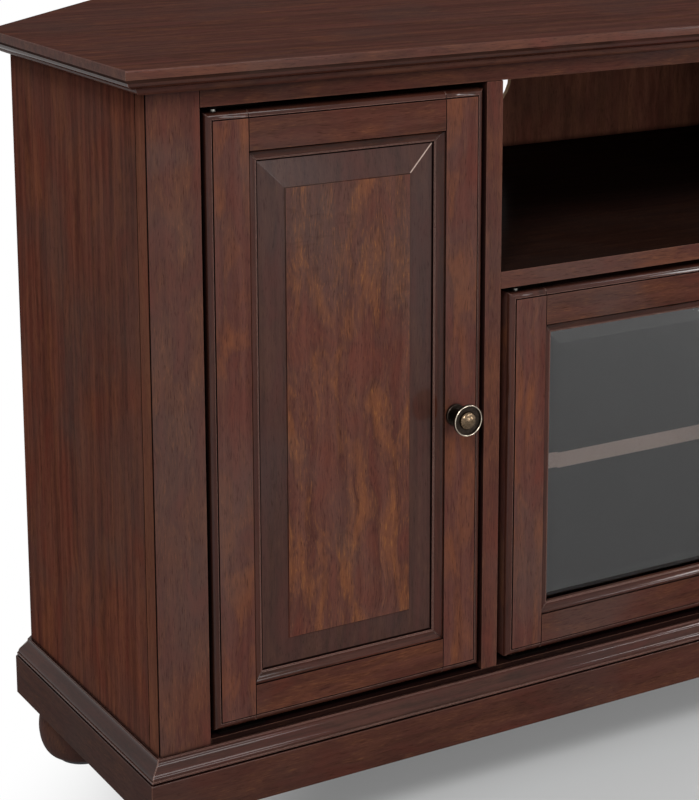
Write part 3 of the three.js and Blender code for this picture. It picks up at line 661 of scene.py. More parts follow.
# Near-black wood for the deck: a painted shadow on its front under the doors and on the bays' floor
PAINTED_SHADOW_WOOD = GlazedMahogany("dark glazed deck", heart="#1d100d", stain="#170c0a", flame="#22130f",
                            blush="#1e0f0c", haze="#191210", fleck_share=0.1, coat=0.02)
# Lighter copy of the wood for the back lining and the plinth's back board: painted light in the dim bays
LIT_INNER_WOOD = GlazedMahogany("stained mahogany lining", heart="#74493a", stain="#5a382c", flame="#80523c",
                            haze="#4a342c", roughness=0.5, coat=0.0, streak=(9, 60))
SHELF_WOOD = GlazedMahogany("dark stained shelf veneer", heart="#261611", stain="#1b100d", flame="#2c1a14",
                            blush="#25140f", haze="#221a18", fleck_share=0.1, roughness=0.45, coat=0.03)


class Stock:
    """Materials that several pieces share, made once."""

    def __init__(self) -> None:
        """Make every shared material."""
        self.brass = PlainSolid("antiqued brass", "#84705a", "#483b2e", 0.9, 0.24, 1.0, 0.01, "#140e0a").material()
        self.rubbed_rim = PlainSolid("rubbed nickel brass rim", "#cfc4b4", "#a89b8a", 1.0, 0.26, 1.0).material()
        self.bronze = PlainSolid("dark oil-rubbed bronze", "#3b332d", "#251f1b", 1.1, 0.36, 1.0).material()
        self.zinc = PlainSolid("bright zinc plate", "#96938c", "#7b7872", 0.8, 0.34, 1.0).material()
        self.dark_plate = PlainSolid("black lacquered steel plate", "#0c0807", "#120c0a", 0.8, 0.8, 1.0).material()
        # Pale colour for the shelf fronts seen through the glass: painted light standing in for lamplight on their
        # mahogany edges
        self.banding = PlainSolid("pale edge banding", "#f2d6c8", "#e2c2b2", 1.4, 0.5).material()
        self.raw_board = PlainSolid("sawn fibreboard", "#9a7a5a", "#7f6245", 0.9, 0.85, relief=0.1).material()
        self.pine = PlainSolid("rough pine block", "#b08c5e", "#9a754b", 3.0, 0.8, relief=0.1).material()
        self.glide = PlainSolid("black moulded nylon", "#17161a", "#1f1d20", 0.6, 0.55).material()
        self.magnet = PlainSolid("brown moulded catch", "#2c1d16", "#362419", 0.8, 0.5).material()
        self.glass = SmokedGlass().material()


Finish = GlazedMahogany | bpy.types.Material


def dress(piece: bpy.types.Object, node: str, main: Finish, *extras: tuple[Finish, FaceTest],
          grain: Grain = Grain.UPRIGHT, slot: str | None = None) -> None:
    """Finish a piece and seat it on the body of its CAD node.

    Args:
        piece: Mesh object.
        node: CAD node that it stands for, or that carries it.
        main: Finish of the whole piece.
        *extras: Another finish, and a test on a face's middle, in case millimetres, and its normal.
        grain: Way the grain of the wood in it runs.
        slot: Material slot name of a piece that stands for no node; when it is given the node stays shown, and the
            name is not otherwise used.
    """
    piece.data.materials.clear()
    for finish in (main, *(extra for extra, _ in extras)):
        piece.data.materials.append(finish.material(node, grain) if isinstance(finish, GlazedMahogany) else finish)
    for face in piece.data.polygons:
        middle = face.center / MM + Vector((0, FRONT_TO_MIDDLE, 0))
        face.material_index = next(
            (index for index, (_, test) in enumerate(extras, 1) if test(middle, face.normal)), 0)
    if slot is None:
        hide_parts(node)
    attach(piece, BODY_OF[node])
    log.info("%s: %d faces on %s", piece.name, len(piece.data.polygons), BODY_OF[node])


@dataclass
class TopBoard:
    """Top board with a moulded edge: eased arris, square edge, ovolo and bead."""

    node: str = "top_panel"
    half_width: float = 609.0
    front: float = -24.5
    back: float = 465.0
    clip_sum: float = 847.985
    top: float = 625.0
    underside: float = 604.0
    arris: float = 1.2
    edge_height: float = 7.0
    cove: Pair = (10.0, 5.5)
    cove_lip: float = 2.5
    bead_reach: float = 7.0
    bead_lip: float = 1.0
    shoulder: float = 0.5
    glaze_rise: float = 0.3
    corner_round: float = 1.1
    corner_reach: float = 1.4
    longest_corner: float = 30.0
    smooth_up_to: float = 32.0

    def outline(self, inset: float, z: float) -> list[Vector]:
        """Corners of the board at one level of its edge.

        Args:
            inset: How far the moulded edges stand back from the widest line.
            z: Height of the level.

        Returns:
            The six corners in metres, from the front right round to the back.
        """
        side = self.half_width - inset
        right = [(side, self.front + inset), (side, self.clip_sum - side),
                 (self.clip_sum - self.back, self.back)]
        left = [(-x, y) for x, y in reversed(right)]
        return [place(x, y, z) for x, y in right + left]

    def levels(self) -> list[Pair]:
        """Levels of the moulded edge.

        Returns:
            Inset and height of each level, from the top down.
        """
        edge_bottom, eased = self.top - self.edge_height, 0.3 * self.shoulder
        cove_start = (self.cove_lip, edge_bottom - self.cove_lip)
        cove_end = (cove_start[0] + self.cove[0], cove_start[1] - self.cove[1])
        bead_start = (cove_end[0] + self.bead_lip, cove_end[1])
        return [
            *quarter((self.arris, self.top), (0, self.top - self.arris), 5),
            (0, edge_bottom + self.shoulder), (eased, edge_bottom + eased), (self.shoulder, edge_bottom),
            *quarter(cove_start, cove_end, 10, bulge_first=False),
            *quarter(bead_start, (bead_start[0] + self.bead_reach, self.underside), 10, bulge_first=False),
        ]

    def is_front_corner(self, middle: Vector, normal: Vector) -> bool:
        """Whether a face lies on the eased upright arris of a front corner."""
        near = abs(middle.x) > self.half_width - self.corner_reach and middle.y < self.front + self.corner_reach
        return near and is_upright_arris(normal)

    def build(self) -> None:
        """Model, finish and seat the board."""
        piece = grow(f"{self.node}_finished", [self.outline(inset, z) for inset, z in self.levels()])
        bevel_edges(piece, lambda edge: edge.calc_length() < self.longest_corner * MM, self.corner_round, 3)
        shade(piece, self.smooth_up_to)
        edge_top = self.top - 2 * NEAR
        lip_top = self.top - self.edge_height + self.glaze_rise
        lip_bottom = lip_top - self.cove_lip - self.glaze_rise
        cove_bottom = lip_bottom - self.cove[1]
        # A front corner's eased arris takes a painted highlight; the lip under the square edge takes the dark
        # shoulder wood, glaze and painted shade, and the cove takes the darker moulding wood, painted shade
        dress(piece, self.node, SHADED_TOP_WOOD,
              (PAINTED_HIGHLIGHT_WOOD,
               lambda middle, normal: lip_top < middle.z < edge_top and self.is_front_corner(middle, normal)),
              (GLAZE_AND_SHADE_SHOULDER_WOOD, lambda middle, normal: lip_bottom < middle.z < lip_top),
              (MOULDING_WOOD, lambda middle, normal: cove_bottom - NEAR < middle.z < lip_bottom + 2 * NEAR),
              (EDGE_WOOD, lambda middle, normal: middle.z < edge_top), grain=Grain.ACROSS)


@dataclass
class Plinth:
    """Mitred plinth boards with a cap moulding, and the plain board across the back."""

    half_width: float = 584.5
    side_depth: float = 255.0
    case_depth: float = 459.0
    bottom: float = 59.0
    top: float = 107.5
    thickness: float = 12.4
    cap_height: float = 15.0
    land: float = 2.2
    arris: float = 0.8
    quirk: float = 1.2
    quirk_depth: float = 3.2
    quirk_arris: float = 0.15
    fillet: Pair = (2.0, 1.6)
    fillet_arris: float = 0.3
    step: Pair = (0.9, 0.05)
    mitre_arris: float = 0.25
    longest_end: float = 100.0
    glaze_drop: float = 0.5
    seat: float = 0.25
    smooth_up_to: float = 32.0

    def section(self) -> list[Pair]:
        """Section of the moulded board.

        Returns:
            Reach out from the case and height of each corner, from the bottom edge round to the top.
        """
        face, ease = self.thickness, self.fillet_arris
        cap_bottom = self.top - self.cap_height
        fillet_bottom = cap_bottom + self.quirk
        fillet_top = fillet_bottom + self.fillet[1]
        groove, fillet_face = face - self.quirk_depth, face - self.fillet[0] / 2
        return [
            (self.seat, self.bottom),
            *quarter((face - self.arris, self.bottom), (face, self.bottom + self.arris), 3),
            *quarter((face, cap_bottom - self.arris), (face - self.arris, cap_bottom), 3, bulge_first=False),
            (groove, cap_bottom + self.quirk_arris), (groove, fillet_bottom - self.quirk_arris),
            (fillet_face - ease, fillet_bottom), (fillet_face, fillet_bottom + ease),
            (fillet_face, fillet_top - ease), (fillet_face - ease, fillet_top),
            (face - self.fillet[0] - self.step[0], fillet_top + self.step[1]),
            *ogee((face - self.fillet[0], fillet_top), (self.land + self.arris, self.top - self.arris), 22),
            (self.land, self.top),
            (self.seat, self.top),
        ]

    def board(self, node: str, grain: Grain, start: Pair, end: Pair, start_slope: Pair, end_slope: Pair) -> None:
        """Model, finish and seat one moulded board between its two mitres.

        Args:
            node: CAD node of the board.
            grain: Way its grain runs.
            start: Corner on the case where it starts.
            end: Corner where it ends.
            start_slope: Travel along the starting mitre for each millimetre out.
            end_slope: The same at the other end.
        """
        rings = [
            [place(corner[0] + slope[0] * out, corner[1] + slope[1] * out, z) for out, z in self.section()]
            for corner, slope in ((start, start_slope), (end, end_slope))
        ]
        piece = grow(f"{node}_finished", rings)
        bevel_edges(piece, self.is_mitre_edge, self.mitre_arris, 1)
        shade(piece, self.smooth_up_to)
        cap_bottom = self.top - self.cap_height - self.glaze_drop
        dress(piece, node, BASE_WOOD, (MOULDING_WOOD, lambda middle, normal: middle.z > cap_bottom), grain=grain)

    def is_mitre_edge(self, edge: bmesh.types.BMEdge) -> bool:
        """Whether an edge lies round the end of a board, whose face has all the section's corners."""
        return edge.calc_length() < self.longest_end * MM and any(len(face.verts) > 4 for face in edge.link_faces)

    def build(self) -> None:
        """Build the six boards."""
        half_gap = self.seat / 2
        self.board("base_front", Grain.ACROSS, (half_gap - self.half_width, 0), (self.half_width - half_gap, 0),
                   (-1, -1), (1, -1))
        # The clipped corner turns by 45 degrees, and its mitre halves that
        turn = math.tan(math.radians(22.5))
        clip_gap = half_gap * math.sqrt(0.5)
        corner_sum = self.half_width + self.side_depth
        for side in Side:
            s = side.value
            self.board(f"base_{side.word}", Grain.DEEP, (s * self.half_width, half_gap),
                       (s * self.half_width, self.side_depth - half_gap), (s, -1), (s, turn))
            self.board(f"base_clip_{side.word}", Grain.LEFT_CLIP if side is Side.LEFT else Grain.RIGHT_CLIP,
                       (s * (self.half_width - clip_gap), self.side_depth + clip_gap),
                       (s * (corner_sum - self.case_depth), self.case_depth), (s, turn), (s * math.sqrt(2), 0))
        # The back board takes the lighter lining wood, painted light
        dress(shade(soften("base_back", 0.4)), "base_back", LIT_INNER_WOOD, grain=Grain.ACROSS)


@dataclass
class CaseBoards:
    """Sides, clips, face frame, deck, dividers, shelves and back, with the steel let into them."""

    stock: Stock
    side_inner: float = 570.0
    side_outer: float = 584.5
    frame_back: float = 17.0
    centre_half: float = 285.0
    divider_outer: float = 299.5
    deck_bottom: float = 97.5
    open_shelf_bottom: float = 426.5
    hole_reach: float = 32.2
    hole_lean: float = 0.3
    hole_heights: Pair = (513.0, 340.0)
    pin_top: float = 300.0
    # Reach of the arrises painted dark at a corner stile; at its front this is a painted dark reflection
    front_glaze: float = 1.2
    joint_glaze: float = 1.4

    def is_hole_edge(self, middle: Vector, normal: Vector) -> bool:
        """Whether a face of the back panel is the sawn edge of a cable hole."""
        near = any(math.hypot(middle.x, middle.z - z) < self.hole_reach for z in self.hole_heights)
        return near and abs(normal.y) < self.hole_lean

    def is_stile_arris(self, middle: Vector, normal: Vector) -> bool:
        """Whether a face is an arris of a corner stile, or of the side panel that meets it, painted dark: glaze at
        their joint, and a painted dark reflection on the stile's front arris.
        """
        glazed = middle.y < self.front_glaze or abs(middle.y - self.frame_back) < self.joint_glaze
        return glazed and abs(middle.x) > self.side_outer - self.front_glaze and is_upright_arris(normal)

    def board(self, node: str, wood: GlazedMahogany, grain: Grain,
              *extras: tuple[Finish, FaceTest], arris: float = 0.5) -> None:
        """Ease, finish and seat one board.

        Args:
            node: CAD node of the board.
            wood: Finish of the board.
            grain: Way its grain runs.
            *extras: Finish and face test of what is let into it.
            arris: Width of the eased arris in millimetres.
        """
        dress(shade(soften(node, arris)), node, wood, *extras, grain=grain)

    def build(self) -> None:
        """Build every board of the case."""
        stock, inner, outer = self.stock, self.centre_half - NEAR, self.divider_outer + NEAR
        # Shelf fronts take the pale colour, painted light on edges seen through the glass
        lit_shelf_edges = (stock.banding, lambda middle, normal: normal.y < -FACING)
        for side in Side:
            word = side.word
            # The sides take the lighter side wood, painted light; a corner stile's front arris is painted dark, a
            # painted dark reflection, and its outer face lighter, painted light
            self.board(f"side_panel_{word}", LIT_SIDE_WOOD, Grain.UPRIGHT,
                       (stock.zinc, lambda middle, normal: abs(middle.x) < self.side_inner - NEAR),
                       (GLAZE_AND_SHADE_LINE_WOOD, self.is_stile_arris), arris=1.0)
            self.board(f"clip_panel_{word}", CASE_WOOD, Grain.UPRIGHT, arris=0.6)
            self.board(f"face_stile_{word}", CASE_WOOD, Grain.UPRIGHT, (GLAZE_AND_SHADE_LINE_WOOD, self.is_stile_arris),
                       (LIT_STRIP_WOOD, lambda middle, normal: abs(middle.x) > self.side_outer - NEAR), arris=0.8)
            self.board(f"divider_{word}", CASE_WOOD, Grain.UPRIGHT,
                       (stock.magnet, lambda middle, normal: abs(middle.x) > outer and middle.z > self.pin_top),
                       (stock.zinc,
                        lambda middle, normal: not inner < abs(middle.x) < outer and middle.z < self.pin_top))
            self.board(f"{word}_bay_shelf", SHELF_WOOD, Grain.ACROSS, lit_shelf_edges)
        self.board("centre_bay_shelf", SHELF_WOOD, Grain.ACROSS, lit_shelf_edges)
        self.board("media_shelf", CASE_WOOD, Grain.ACROSS,
                   (stock.magnet, lambda middle, normal: middle.z < self.open_shelf_bottom - NEAR),
                   (SHELF_WOOD, lambda middle, normal: abs(normal.z) > FACING))
        # The top rail takes the darker rail wood, painted shade
        self.board("top_rail", SHADED_RAIL_WOOD, Grain.ACROSS)
        # The deck is painted near-black, a painted shadow
        self.board("deck_panel", PAINTED_SHADOW_WOOD, Grain.ACROSS,
                   (stock.pine, lambda middle, normal: middle.z < self.deck_bottom - NEAR))
        # The back takes the lighter lining wood, painted light
        self.board("back_panel", LIT_INNER_WOOD, Grain.UPRIGHT, (stock.raw_board, self.is_hole_edge), arris=0.3)


@dataclass
class BunFeet:
    """Six turned bun feet with nylon glides."""

    stock: Stock
    radius: float = 37.5
    neck: float = 22.0
    flat: float = 25.0
    glide_radius: float = 23.0
    glide_height: float = 4.0
    glide_arris: float = 1.0
    height: float = 59.0
    neck_height: float = 5.0
    stud_radius: float = 4.0
    stud_top: float = 83.0
    stud_seat: Pair = (0.4, 0.3)
    smooth_up_to: float = 40.0
    places: tuple[tuple[str, float, float], ...] = (
        ("front", 546.5, 38.0), ("side", 546.5, 239.26), ("back", 364.76, 421.0))

    def profile(self) -> list[Pair]:
        """Profile of the turned foot.

        Returns:
            Radius and height of each corner, from the floor up.
        """
        waist = (self.height - self.neck_height + self.glide_height) / 2
        crown = (self.neck, self.height - self.neck_height)
        return [
            (self.glide_radius - self.glide_arris, 0), (self.glide_radius, self.glide_arris),
            (self.glide_radius, self.glide_height),
            *quarter((self.flat, self.glide_height), (self.radius, waist), 12),
            *quarter((self.radius, waist), crown, 12, bulge_first=False)[1:],
            (self.neck, self.height - self.stud_seat[0]), (self.stud_radius, self.height - self.stud_seat[1]),
            (self.stud_radius, self.stud_top),
        ]

    def build(self) -> None:
        """Turn one foot and copy it to its six places."""
        pattern = turn_on_lathe("bun_foot_pattern", self.profile(), FACETS, Matrix.Identity(4))
        shade(pattern, self.smooth_up_to)
        for side in Side:
            for row, x, y in self.places:
                node = f"{row}_{side.word}_foot"
                piece = copy_to(pattern, f"{node}_finished", Matrix.Translation(place(side.value * x, y, 0)))
                dress(piece, node, CASE_WOOD,
                      (self.stock.glide, lambda middle, normal: middle.z < self.glide_height + NEAR),
                      (self.stock.zinc, lambda middle, normal: middle.z > self.height + 2 * NEAR))
        bpy.data.objects.remove(pattern)


@dataclass
class Knob:
    """Antiqued brass knob: stepped base, flared neck, raised rim and a dome in the cup."""

    radius: float = 12.6
    rim: float = 1.2
    rim_round: tuple[Pair, ...] = ((0.22, 0.36), (0.5, 0.5), (0.78, 0.36))
    reach: float = 22.5
    dome_radius: float = 7.4
    dome_rise: float = 3.5
    cup_depth: float = 3.0
    neck: float = 5.5
    base_radius: float = 8.5
    base_height: float = 2.2
    base_arris: Pair = (0.5, 0.6)
    seat: float = 0.25
    smooth_up_to: float = 38.0

    def profile(self) -> list[Pair]:
        """Profile of the turned knob.

        Returns:
            Radius and reach of each corner, from the door out.
        """
        floor = self.reach - self.dome_rise
        inner = self.radius - self.rim
        back = floor - self.cup_depth
        return [
            (self.base_radius, self.seat), (self.base_radius, self.base_height - self.base_arris[1]),
            (self.base_radius - self.base_arris[0], self.base_height),
            *quarter((self.neck, self.base_height), (self.radius, back + self.rim), 14, bulge_first=False),
            (self.radius, floor),
            *((self.radius - self.rim * inward, floor + self.rim * out) for inward, out in self.rim_round),
            (inner, floor), (inner, floor - self.rim), (self.dome_radius, floor - self.rim),
            *quarter((self.dome_radius, floor - self.rim), (0.0, self.reach), 16, bulge_first=False)[1:-1],
        ]

    def build(self, node: str, x: float, z: float, stock: Stock) -> None:
        """Turn, finish and seat one knob.

        Args:
            node: CAD node of the knob.
            x: Place across the cabinet.
            z: Height above the floor.
            stock: Shared materials.
        """
        floor = self.reach - self.dome_rise
        stand = Matrix.Translation(place(x, 0, z)) @ Matrix.Rotation(math.pi / 2, 4, "X")
        piece = turn_on_lathe(f"{node}_finished", self.profile(), FACETS, stand)
        shade(piece, self.smooth_up_to)
        dress(piece, node, stock.bronze,
              (stock.rubbed_rim, lambda middle, normal: -middle.y > floor - 2 * NEAR and math.hypot(
                  middle.x - x, middle.z - z) > self.radius - self.rim),
              (stock.brass, lambda middle, normal: -middle.y > floor - self.rim + NEAR and math.hypot(
                  middle.x - x, middle.z - z) < self.dome_radius))


@dataclass
class Screw:
    """Countersunk screw head with a cross recess."""

    radius: float = 2.6
    rise: float = 0.35
    foot_inset: float = 0.3
    crown_inset: float = 0.5
    arm: float = 1.5
    arm_half: float = 0.4
    sink: float = 0.9
    sides: int = 24

    def cross(self) -> list[Pair]:
        """Outline of the recess.

        Returns:
            Its corners in millimetres, one for each facet of the head.
        """
        a, b = self.arm, self.arm_half
        quadrant = [(a, 0), (a, b), (a / 2 + b / 2, b), (b, b), (b, a / 2 + b / 2), (b, a)]
        return [
            (x * math.cos(turn) - y * math.sin(turn), x * math.sin(turn) + y * math.cos(turn))
            for turn in (math.pi / 2 * i for i in range(4)) for x, y in quadrant
        ]

    def build(self, name: str, stand: Matrix) -> bpy.types.Object:
        """Model one head, its top towards +Z before it is stood in place.

        Args:
            name: Name of the piece.
            stand: Matrix that carries it from the origin to its place.

        Returns:
            The new object.
        """
        angles = [2 * math.pi * i / self.sides for i in range(self.sides)]
        circles = [(self.radius - self.foot_inset, -self.rise), (self.radius, 0.0),
                   (self.radius - self.crown_inset, self.rise)]
        outlines = [[(r * math.cos(a), r * math.sin(a), h) for a in angles] for r, h in circles]
        outlines += [[(x, y, h) for x, y in self.cross()] for h in (self.rise, self.rise - self.sink)]
        rings = [[stand @ (Vector(point) * MM) for point in outline] for outline in outlines]
        return grow(name, rings)


@dataclass
class Pivot:
    """Pin hinge at one end of a door: screwed plate with round corners, washer and pin."""

    stock: Stock
    side: Side
    x: float
    y: float
    face: float
    door_face: float
    length: float = 34.0
    width: float = 12.0
    thickness: float = 1.4
    corner: float = 2.5
    arris: float = 0.3
    washer: float = 4.6
    washer_share: float = 0.55
    washer_ease: Pair = (0.2, 0.25)
    washer_seat: float = 0.1
    pin: float = 2.4
    pin_reach: float = 8.3
    pin_point: Pair = (1.8, 9.0)
    screw_distances: Pair = (14.0, 27.0)

    def outline(self, inset: float, z: float) -> list[Vector]:
        """Corners of the plate at one level.

        Args:
            inset: How far the outline is drawn in, in millimetres.
            z: Height of the level.

        Returns:
            The corners in metres, four to each round.
        """
        middle = self.x + self.side.value * (self.width / 2 - self.length) / 2
        half_length, half_width = (self.length + self.width / 2) / 2, self.width / 2
        share_x, share_y = 1 - 2 * inset / self.length, 1 - inset / half_width
        points = []
        for quadrant, (sx, sy) in enumerate(((1, 1), (-1, 1), (-1, -1), (1, -1))):
            for step in range(4):
                turn = math.radians(90 * quadrant + 30 * step)
                out_x = sx * (half_length - self.corner) + self.corner * math.cos(turn)
                out_y = sy * (half_width - self.corner) + self.corner * math.sin(turn)
                points.append(place(middle + out_x * share_x, self.y + out_y * share_y, z))
        return points

    def build(self, node: str) -> None:
        """Model, finish and seat the pivot.

        Args:
            node: CAD node of the pivot.
        """
        upwards = self.door_face > self.face
        gap = abs(self.door_face - self.face)
        turn = Matrix.Rotation(0 if upwards else math.pi, 4, "X")
        low = self.face + (self.thickness - self.arris) * (1 if upwards else -1)
        top = self.face + self.thickness * (1 if upwards else -1)
        plate = grow(f"{node}_finished", [
            self.outline(0, self.face), self.outline(0, low), self.outline(self.arris, top)])
        collar = gap * self.washer_share
        ease, rise = self.washer_ease
        spindle = turn_on_lathe(f"{node}_spindle", [
            (self.washer, self.washer_seat), (self.washer, collar), (self.washer - ease, collar + ease),
            (self.pin, collar + rise), (self.pin, gap + self.pin_reach),
            (self.pin_point[0], gap + self.pin_point[1]),
        ], FACETS // 2, Matrix.Translation(place(self.x, self.y, self.face)) @ turn)
        screws = [
            Screw().build(f"{node}_screw_{index}", Matrix.Translation(
                place(self.x - self.side.value * distance, self.y, top)) @ turn)
            for index, distance in enumerate(self.screw_distances)
        ]
        piece = join_pieces([plate, spindle, *screws])
        shade(piece)
        dress(piece, node, self.stock.dark_plate,
              (self.stock.zinc, lambda middle, normal: math.hypot(middle.x - self.x, middle.y - self.y)
               < self.pin + 2 * NEAR and abs(middle.z - self.face) > gap / 2))


@dataclass
class FramedDoor:
    """Framed door with an edge bead and sticking, filled with a raised panel or a bevelled pane."""

    stock: Stock
    name: str
    side: Side
    hinge_edge: float
    width: float
    height: float
    case_top: float
    knob_z: float
    glazed: bool
    bottom: float = 116.3
    stile_face: float = 34.5
    rail_face: float = 30.0
    sticking: float = 8.0
    thickness: float = 18.0
    arris: float = 0.3
    panel_front: float = 6.45
    tongue: Pair = (7.0, 5.0)
    bevel: Pair = (22.0, 3.8)
    mitre_lengths: Pair = (15.0, 45.0)
    mitre_arris: float = 0.5
    # Width of the painted highlight along the panel's upper right mitre
    rubbed_width: float = 0.8
    panel_smooth_up_to: float = 6.0
    tongue_glaze: float = 0.09
    shoulder: Pair = (0.5, 0.8)
    shadow_line: float = 1.3
    quirk: Pair = (5.2, 6.2)
    quirk_depths: Pair = (0.15, 1.7)
    joint_reach: float = 0.55
    joint_depths: Pair = (0.02, 1.0)
    bead_width: float = 6.1
    bead_depth: float = 6.2
    glass_front: float = 9.25
    glass_thickness: float = 4.0
    glass_bevel: Pair = (12.0, 2.0)
    glass_smooth_up_to: float = 2.0
    knob_distance: float = 25.0
    pin_inset: float = 10.0
    case_floor: float = 112.0
    plate_seat: float = 0.25

    def ring(self, offset: float, depth: float) -> list[Vector]:
        """Corners of the door's opening, grown outwards.

        Args:
            offset: Growth in millimetres.
            depth: Distance behind the door's front face.

        Returns:
            The four corners in metres.
        """
        border = self.stile_face + self.sticking
        ends = [self.side.value * (self.hinge_edge - u) for u in (border - offset, self.width - border + offset)]
        left, right = min(ends), max(ends)
        low = self.bottom + self.rail_face + self.sticking - offset
        high = self.bottom + self.height - self.rail_face - self.sticking + offset
        return [place(x, depth, z) for x, z in ((left, low), (right, low), (right, high), (left, high))]

    def build_panel(self) -> None:
        """Model the raised panel: tongue, bevel, shoulder and field."""
        node = f"{self.name}_panel"
        front = self.panel_front
        reach, thick = self.tongue
        width, rise = self.bevel
        run, drop = self.shoulder
        crest = front - rise + drop
        # Every corner of the section is eased by a few tenths of a millimetre
        levels = [
            (reach, front + thick), (reach, front), (0.6, front), (-self.shadow_line, front - 0.1),
            (-width + 0.3, crest + 0.05), (-width, crest), (-width - 0.15, crest - 0.12),
            (-width - run, crest - drop + 0.12), (-width - run - 0.25, crest - drop),
        ]
        shortest, longest = self.mitre_lengths
        piece = grow(f"{node}_finished", [self.ring(offset, depth) for offset, depth in levels])
        bevel_edges(piece, lambda edge: shortest * MM < edge.calc_length() < longest * MM, self.mitre_arris, 2)
        shade(piece, self.panel_smooth_up_to)
        # The tongue's front strip is painted near-black, a painted shadow line at the sticking; the shoulder takes
        # the dark shoulder wood, glaze and painted shade; the upper right mitre takes a painted highlight
        dress(piece, node, PANEL_WOOD,
              (PAINTED_HIGHLIGHT_WOOD, self.is_rubbed_mitre),
              (GLAZE_AND_SHADE_LINE_WOOD, lambda middle, normal: front - self.tongue_glaze < middle.y < front + 2 * NEAR),
              (BEVEL_WOOD, lambda middle, normal: crest - NEAR < middle.y < front + 2 * NEAR),
              (GLAZE_AND_SHADE_SHOULDER_WOOD, lambda middle, normal: middle.y > crest - drop + NEAR))

    def is_rubbed_mitre(self, middle: Vector, normal: Vector) -> bool:
        """Test whether a face lies on the arris where two of the panel's bevels meet, at its upper right corner.

        Args:
            middle: Middle of the face, in case millimetres.
            normal: Its normal; not used.

        Returns:
            True on that arris, which takes a painted highlight.
        """
        across = self.hinge_edge - abs(middle.x)
        down = self.height - (middle.z - self.bottom) - self.rail_face - self.sticking
        inward = min(across, self.width - across) - self.stile_face - self.sticking
        on_right = middle.x > self.side.value * (self.hinge_edge - self.width / 2)
        return on_right and abs(down - inward) < self.rubbed_width and self.shadow_line < down < self.bevel[0]

    def build_pane(self) -> None:
        """Model the bevelled pane."""
        node = f"{self.name}_pane"
        front = self.glass_front
        width, fall = self.glass_bevel
        levels = [
            (self.tongue[0], front + self.glass_thickness), (self.tongue[0], front + fall),
            (0, front + fall), (-width, front),
        ]
        piece = grow(f"{node}_finished", [self.ring(offset, depth) for offset, depth in levels])
        shade(piece, self.glass_smooth_up_to)
        dress(piece, node, self.stock.glass)

    def spot(self, middle: Vector) -> tuple[float, float, float]:
        """Find how far in from the door's outer edges a point of its frame lies.

        Args:
            middle: The point, in case millimetres.

        Returns:
            The distance from the nearer upright edge, from the nearer level edge, and the less of the two.
        """
        across = self.hinge_edge - abs(middle.x)
        up = middle.z - self.bottom
        across, up = min(across, self.width - across), min(up, self.height - up)
        return across, up, min(across, up)

    def is_moulding(self, middle: Vector, normal: Vector) -> bool:
        """Test whether a face of the frame lies on the edge bead or in the sticking.

        Args:
            middle: Middle of the face, in case millimetres.
            normal: Its normal; not used.

        Returns:
            True on either moulding.
        """
        across, up, from_edge = self.spot(middle)
        in_sticking = self.stile_face < across and self.rail_face < up
        return middle.y < self.bead_depth and (from_edge < self.bead_width or in_sticking)

    def is_quirk(self, middle: Vector, normal: Vector) -> bool:
        """Test whether a face lies in the groove by the edge bead, at a rail's joint, or on the sticking's step.

        Args:
            middle: Middle of the face, in case millimetres.
            normal: Its normal; not used.

        Returns:
            True where a dark line is painted: glaze at a joint, and painted shade in the groove and on the step.
        """
        across, up, from_edge = self.spot(middle)
        (near, far), (high, low) = self.quirk_depths, self.joint_depths
        in_groove = near < middle.y < far and self.quirk[0] - 2 * NEAR < from_edge < self.quirk[1]
        on_step = min(abs(across - self.stile_face), abs(up - self.rail_face)) < self.joint_reach
        return in_groove or (on_step and high < middle.y < low)

    def build_frame(self) -> None:
        """Ease, finish and seat the stiles and rails."""
        for member, grain in (("hinge_stile", Grain.UPRIGHT), ("latch_stile", Grain.UPRIGHT),
                              ("bottom_rail", Grain.ACROSS), ("top_rail", Grain.ACROSS)):
            node = f"{self.name}_{member}"
            # Rails take the darker rail wood, painted shade; joints, the groove by the bead and the sticking's step
            # are painted near-black, glaze and painted shade
            dress(shade(soften(node, self.arris)), node, DOOR_WOOD if grain is Grain.UPRIGHT else SHADED_RAIL_WOOD,
                  (self.stock.zinc, lambda middle, normal: middle.y > self.thickness + NEAR),
                  (GLAZE_AND_SHADE_LINE_WOOD, self.is_quirk), (MOULDING_WOOD, self.is_moulding), grain=grain)

    def build(self) -> None:
        """Build the whole door with its knob and pivots."""
        self.build_frame()
        if self.glazed:
            self.build_pane()
        else:
            self.build_panel()
        s = self.side.value
        Knob().build(f"{self.name}_knob", s * (self.hinge_edge - self.width + self.knob_distance),
                     self.knob_z, self.stock)
        for end, face, door_face in (("lower", self.case_floor + self.plate_seat, self.bottom),
                                     ("upper", self.case_top - self.plate_seat, self.bottom + self.height)):
            pivot = Pivot(self.stock, self.side, s * (self.hinge_edge - self.pin_inset), self.thickness / 2,
                          face, door_face)
            pivot.build(f"{self.name}_{end}_pivot")


